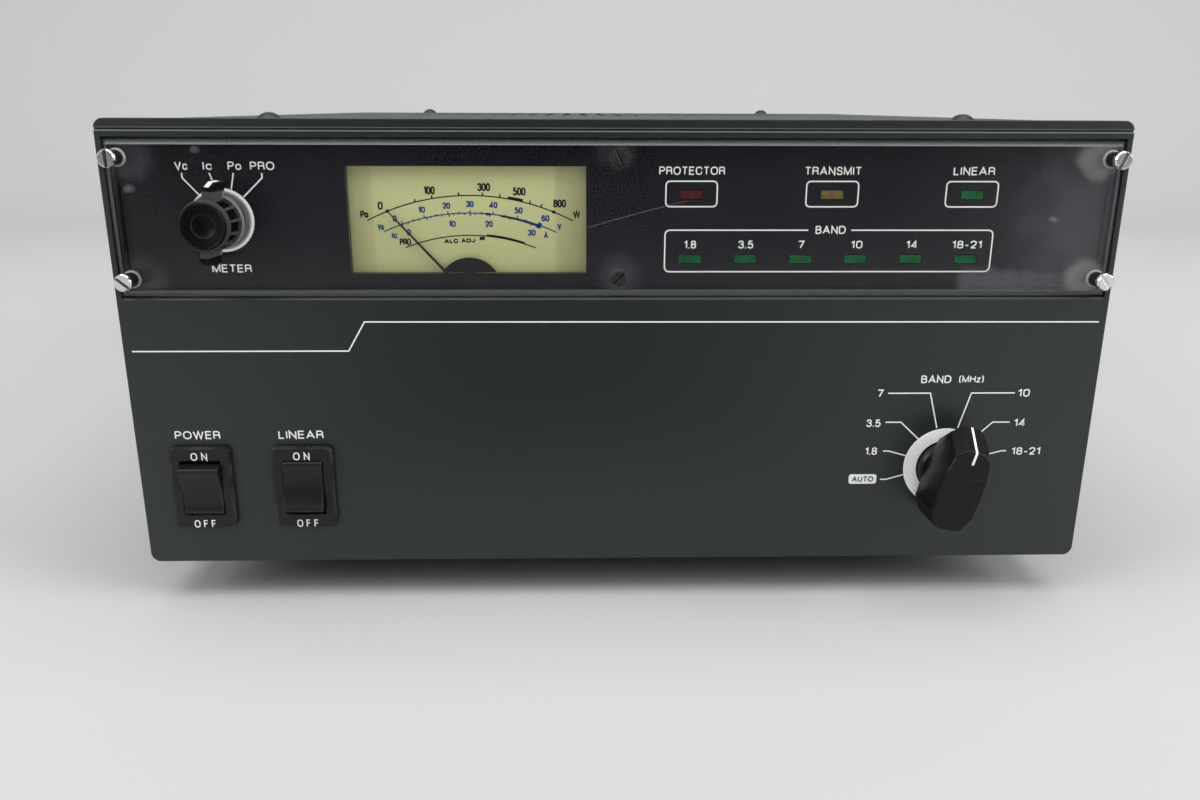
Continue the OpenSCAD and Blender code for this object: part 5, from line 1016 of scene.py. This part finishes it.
def meter_selector() -> None:
    """Print the meter selector's field, its grey seat and the line on its fin."""
    centre = (-120.0, 110.8)
    sheet = Print(SHEET_FACE)
    sheet.labels((
        ("Vc", -130.6, 126.8, 3.8), ("Ic", -122.8, 126.8, 2.7), ("Po", -114.8, 126.8, 4.0),
        ("PRO", -106.6, 126.8, 7.2), ("METER", -118.6, 96.1, 12.0)), 2.45, stroke=0.38)
    for path in (
        ((-130.6, 124.7), (-130.6, 123.3), (-125.9, 118.0)), ((-122.5, 124.7), (-121.5, 122.0)),
        ((-115.3, 124.7), (-116.4, 119.9)), ((-106.9, 124.7), (-106.9, 123.3), (-112.9, 117.7)),
    ):
        sheet.line(path, 0.40)
    sheet.piece("meter_selector_lettering", Body.CABINET, WHITE_PRINT)
    seat, seat_radius, seat_width, steps = Print(SHEET_FACE), 7.6, 1.1, 48
    turns = [i * 2 * math.pi / steps for i in range(steps)]
    circle = [(centre[0] + seat_radius * math.cos(t), centre[1] + seat_radius * math.sin(t)) for t in turns]
    seat.line(circle, seat_width, closed=True)
    seat.piece("meter_dial_seat", Body.CABINET, SEAT_GREY)
    path = ((12.14, -0.9), (12.14, -6.9), (10.95, -10.25))
    sunk = [(reach - 0.08, y) for reach, y in path]
    paint = on_knob(centre, 82.5, 0.62, (path, sunk))
    paint.piece("meter_knob_line", Body.METER_SELECTOR, WHITE_PRINT)


def band_selector() -> None:
    """Print the band selector's field and the line on its pointer."""
    sheet = Print(PANEL_FACE)
    sheet.labels((
        ("7", 83.7, 56.7, 1.9), ("3.5", 82.3, 46.7, 4.6), ("1.8", 82.3, 37.2, 3.9), ("10", 129.9, 56.7, 3.8),
        ("14", 129.8, 46.7, 3.7), ("18-21", 133.0, 37.0, 9.4), ("BAND", 101.2, 61.3, 9.6)), 2.55, stroke=0.40)
    sheet.words("(MHz)", 112.5, 61.3, 2.2, 7.9)
    for path in (
        ((86.2, 56.7), (99.8, 56.7), (103.0, 45.0)), ((127.0, 56.7), (113.0, 56.7), (109.8, 45.0)),
        ((86.2, 47.0), (91.2, 47.0), (97.3, 41.3)), ((126.5, 46.9), (121.0, 46.9), (117.6, 43.6)),
        ((86.2, 37.2), (88.0, 37.2), (93.7, 35.6)), ((126.5, 37.1), (125.0, 37.1), (120.8, 36.0)),
        ((86.0, 27.4), (88.0, 27.4), (93.5, 29.0)),
    ):
        sheet.line(path, 0.40)
    sheet.slab(rounded_box(75.7, 84.8, 25.9, 29.2, 0.8))
    sheet.piece("band_selector_lettering", Body.CABINET, WHITE_PRINT)
    dark = Print(-0.04, 0.03)
    dark.words("AUTO", 80.25, 27.55, 1.9, 7.0)
    dark.piece("band_auto_lettering", Body.CABINET, DARK_PRINT)
    path, slope_end, sink = ((16.86, -9.2), (11.66, -18.0), (11.2, -18.44), (7.4, -18.44)), 11.3, 0.12
    sunk = [(reach - (sink if reach > slope_end else 0.0), y + sink) for reach, y in path]
    paint = on_knob((106.3, 31.8), 75.0, 0.38, (path, sunk))
    paint.piece("band_knob_line", Body.BAND_SELECTOR, WHITE_PRINT)


def rocker_switches() -> None:
    """Print the rocker switches' names and the marks on their bezels."""
    names = Print(PANEL_FACE)
    names.labels((("POWER", -133.4, 43.7, 14.3), ("LINEAR", -100.8, 43.7, 14.2)), 2.7, stroke=0.40)
    names.piece("switch_names", Body.CABINET, WHITE_PRINT)
    marks = Print(BEZEL_FACE)
    marks.labels((
        ("ON", -133.0, 37.1, 5.2), ("OFF", -133.4, 14.1, 6.9), ("ON", -100.7, 37.1, 5.2),
        ("OFF", -100.4, 14.1, 6.9)), 2.6, gap=0.75)
    marks.piece("switch_markings", Body.CABINET, WHITE_PRINT)


def rear_names() -> None:
    """Print the sockets' names, which read from behind."""
    sheet = MeshMaker()
    for words, x, z, width in (
        ("ANT", 118.0, 121.5, 8.0), ("INPUT", 118.0, 83.5, 13.0), ("ALC", 108.0, 35.5, 7.6),
        ("RELAY", 92.0, 35.5, 12.4), ("ACC", 0.0, 38.5, 8.4), ("GND", -60.0, 34.0, 8.4), ("DC IN", -118.0, 95.5, 12.0),
    ):
        word = Print(0.0)
        word.words(words, 0.0, z, 3.0, width, stroke=0.45)
        sheet.add([Vector((x - v.x, REAR_FACE - v.y, v.z)) for v in word.vertices], word.faces)
    sheet.piece("rear_lettering", Body.CABINET, WHITE_PRINT)


# ---------- Studio ----------


def camera() -> None:
    """Place the camera at the photograph's view."""
    lens_length, sensor_width, near = 29.68, 36.0, 0.01
    x, distance, z = -13.15, 300.7, 144.1
    yaw, pitch, roll = 0.0248, 0.2885, 0.0033
    data = bpy.data.cameras.new("view_camera")
    data.lens, data.sensor_width, data.clip_start = lens_length, sensor_width, near
    thing = in_scene("view_camera", data)
    ahead = Vector((math.sin(yaw) * math.cos(pitch), math.cos(yaw) * math.cos(pitch), -math.sin(pitch)))
    right = Vector((math.cos(yaw), -math.sin(yaw), 0.0))
    up = right.cross(ahead)
    axes = (math.cos(roll) * right + math.sin(roll) * up, math.cos(roll) * up - math.sin(roll) * right, -ahead)
    turned = Matrix(axes).transposed().to_4x4()
    thing.matrix_world = Matrix.Translation(PANEL.at(x, -distance, z)) @ turned
    bpy.context.scene.camera = thing


def studio_sheet(
    name: str, vertices: Sequence[Sequence[float]], colour: Colour, roughness: float, specular: float,
) -> bpy.types.Object:
    """Make a plain sheet of the studio, whose vertices run in pairs from one end to the other."""
    mesh = bpy.data.meshes.new(name)
    mesh.from_pydata(vertices, [], [(i, i + 1, i + 3, i + 2) for i in range(0, len(vertices) - 2, 2)])
    mesh.materials.append(new_material(name, lambda kit: {
        "Base Color": colour, "Roughness": roughness, "Specular IOR Level": specular}))
    sheet = in_scene(name, mesh)
    return sheet


def backdrop() -> None:
    """Make the floor that curves up into the backdrop."""
    front, back, bend, top, half, steps = -3.0, 0.9, 0.5, 4.0, 5.0, 12
    turns = [i * math.pi / 2 / steps for i in range(1, steps + 1)]
    profile = [(front, 0.0), (back, 0.0)]
    profile += [(back + bend * math.sin(t), bend - bend * math.cos(t)) for t in turns]
    profile.append((back + bend, top))
    vertices = [(x, y, z) for y, z in profile for x in (-half, half)]
    floor = studio_sheet("studio_floor", vertices, (0.50, 0.50, 0.495), 0.75, 0.2)
    for polygon in floor.data.polygons:
        polygon.use_smooth = True


def dark_cards() -> None:
    """Place dark cards that only glossy surfaces see, which give them their depth; the one on the floor is a painted
    shadow, seen only in reflections.
    """
    wall, low, high = -0.78, 0.02, 0.85
    near, far, lift = -0.66, -0.31, 0.002
    for name, corners in (
        ("studio_card", [(-0.405, wall, low), (0.34, wall, low), (-0.405, wall, high), (0.34, wall, high)]),
        # painted shadow: a dark sheet on the floor in front, where shade falls, seen only in reflections
        ("reflected_floor_shade_card", [(-0.14, near, lift), (0.10, near, lift), (-0.14, far, lift), (0.10, far, lift)]),
    ):
        card = studio_sheet(name, corners, (0.02, 0.02, 0.021), 0.9, 0.0)
        card.visible_camera = card.visible_diffuse = card.visible_shadow = card.visible_transmission = False


def world() -> None:
    """Light the surroundings evenly."""
    air = bpy.data.worlds.new("studio_air")
    bpy.context.scene.world = air
    air.use_nodes = True
    NodeKit(air.node_tree).feed(
        air.node_tree.nodes["Background"], {"Color": (0.50, 0.505, 0.51), "Strength": 0.62})


def lamps() -> None:
    """Hang three soft lamps: place, target, size and power."""
    for name, where, target, size, power in (
        ("ceiling_softbox", (0.0, -0.35, 1.9), (0.0, -0.05, 0.0), (2.6, 1.8), 38.0),
        ("left_softbox", (-1.9, -0.9, 1.1), (0.0, 0.0, 0.05), (1.2, 1.2), 24.0),
        ("right_softbox", (1.9, -0.8, 1.0), (0.0, 0.0, 0.05), (1.2, 1.2), 32.0),
    ):
        data = bpy.data.lights.new(name, "AREA")
        data.shape = "RECTANGLE"
        data.size, data.size_y = size
        data.energy = power
        lamp = in_scene(name, data)
        lamp.location = where
        lamp.rotation_euler = (Vector(target) - Vector(where)).to_track_quat("-Z", "Y").to_euler()


def main() -> None:
    """Dress the solids, print the lettering and set up the studio."""
    logging.basicConfig(level=logging.INFO, format="%(name)s: %(message)s")
    for step in (
        dress_solids, front_line, black_scale, blue_scale, indicator_field, meter_selector, band_selector,
        rocker_switches, rear_names, camera, backdrop, dark_cards, world, lamps,
    ):
        step()
    bpy.context.scene.view_settings.view_transform = "Standard"


if __name__ == "__main__":
    main()
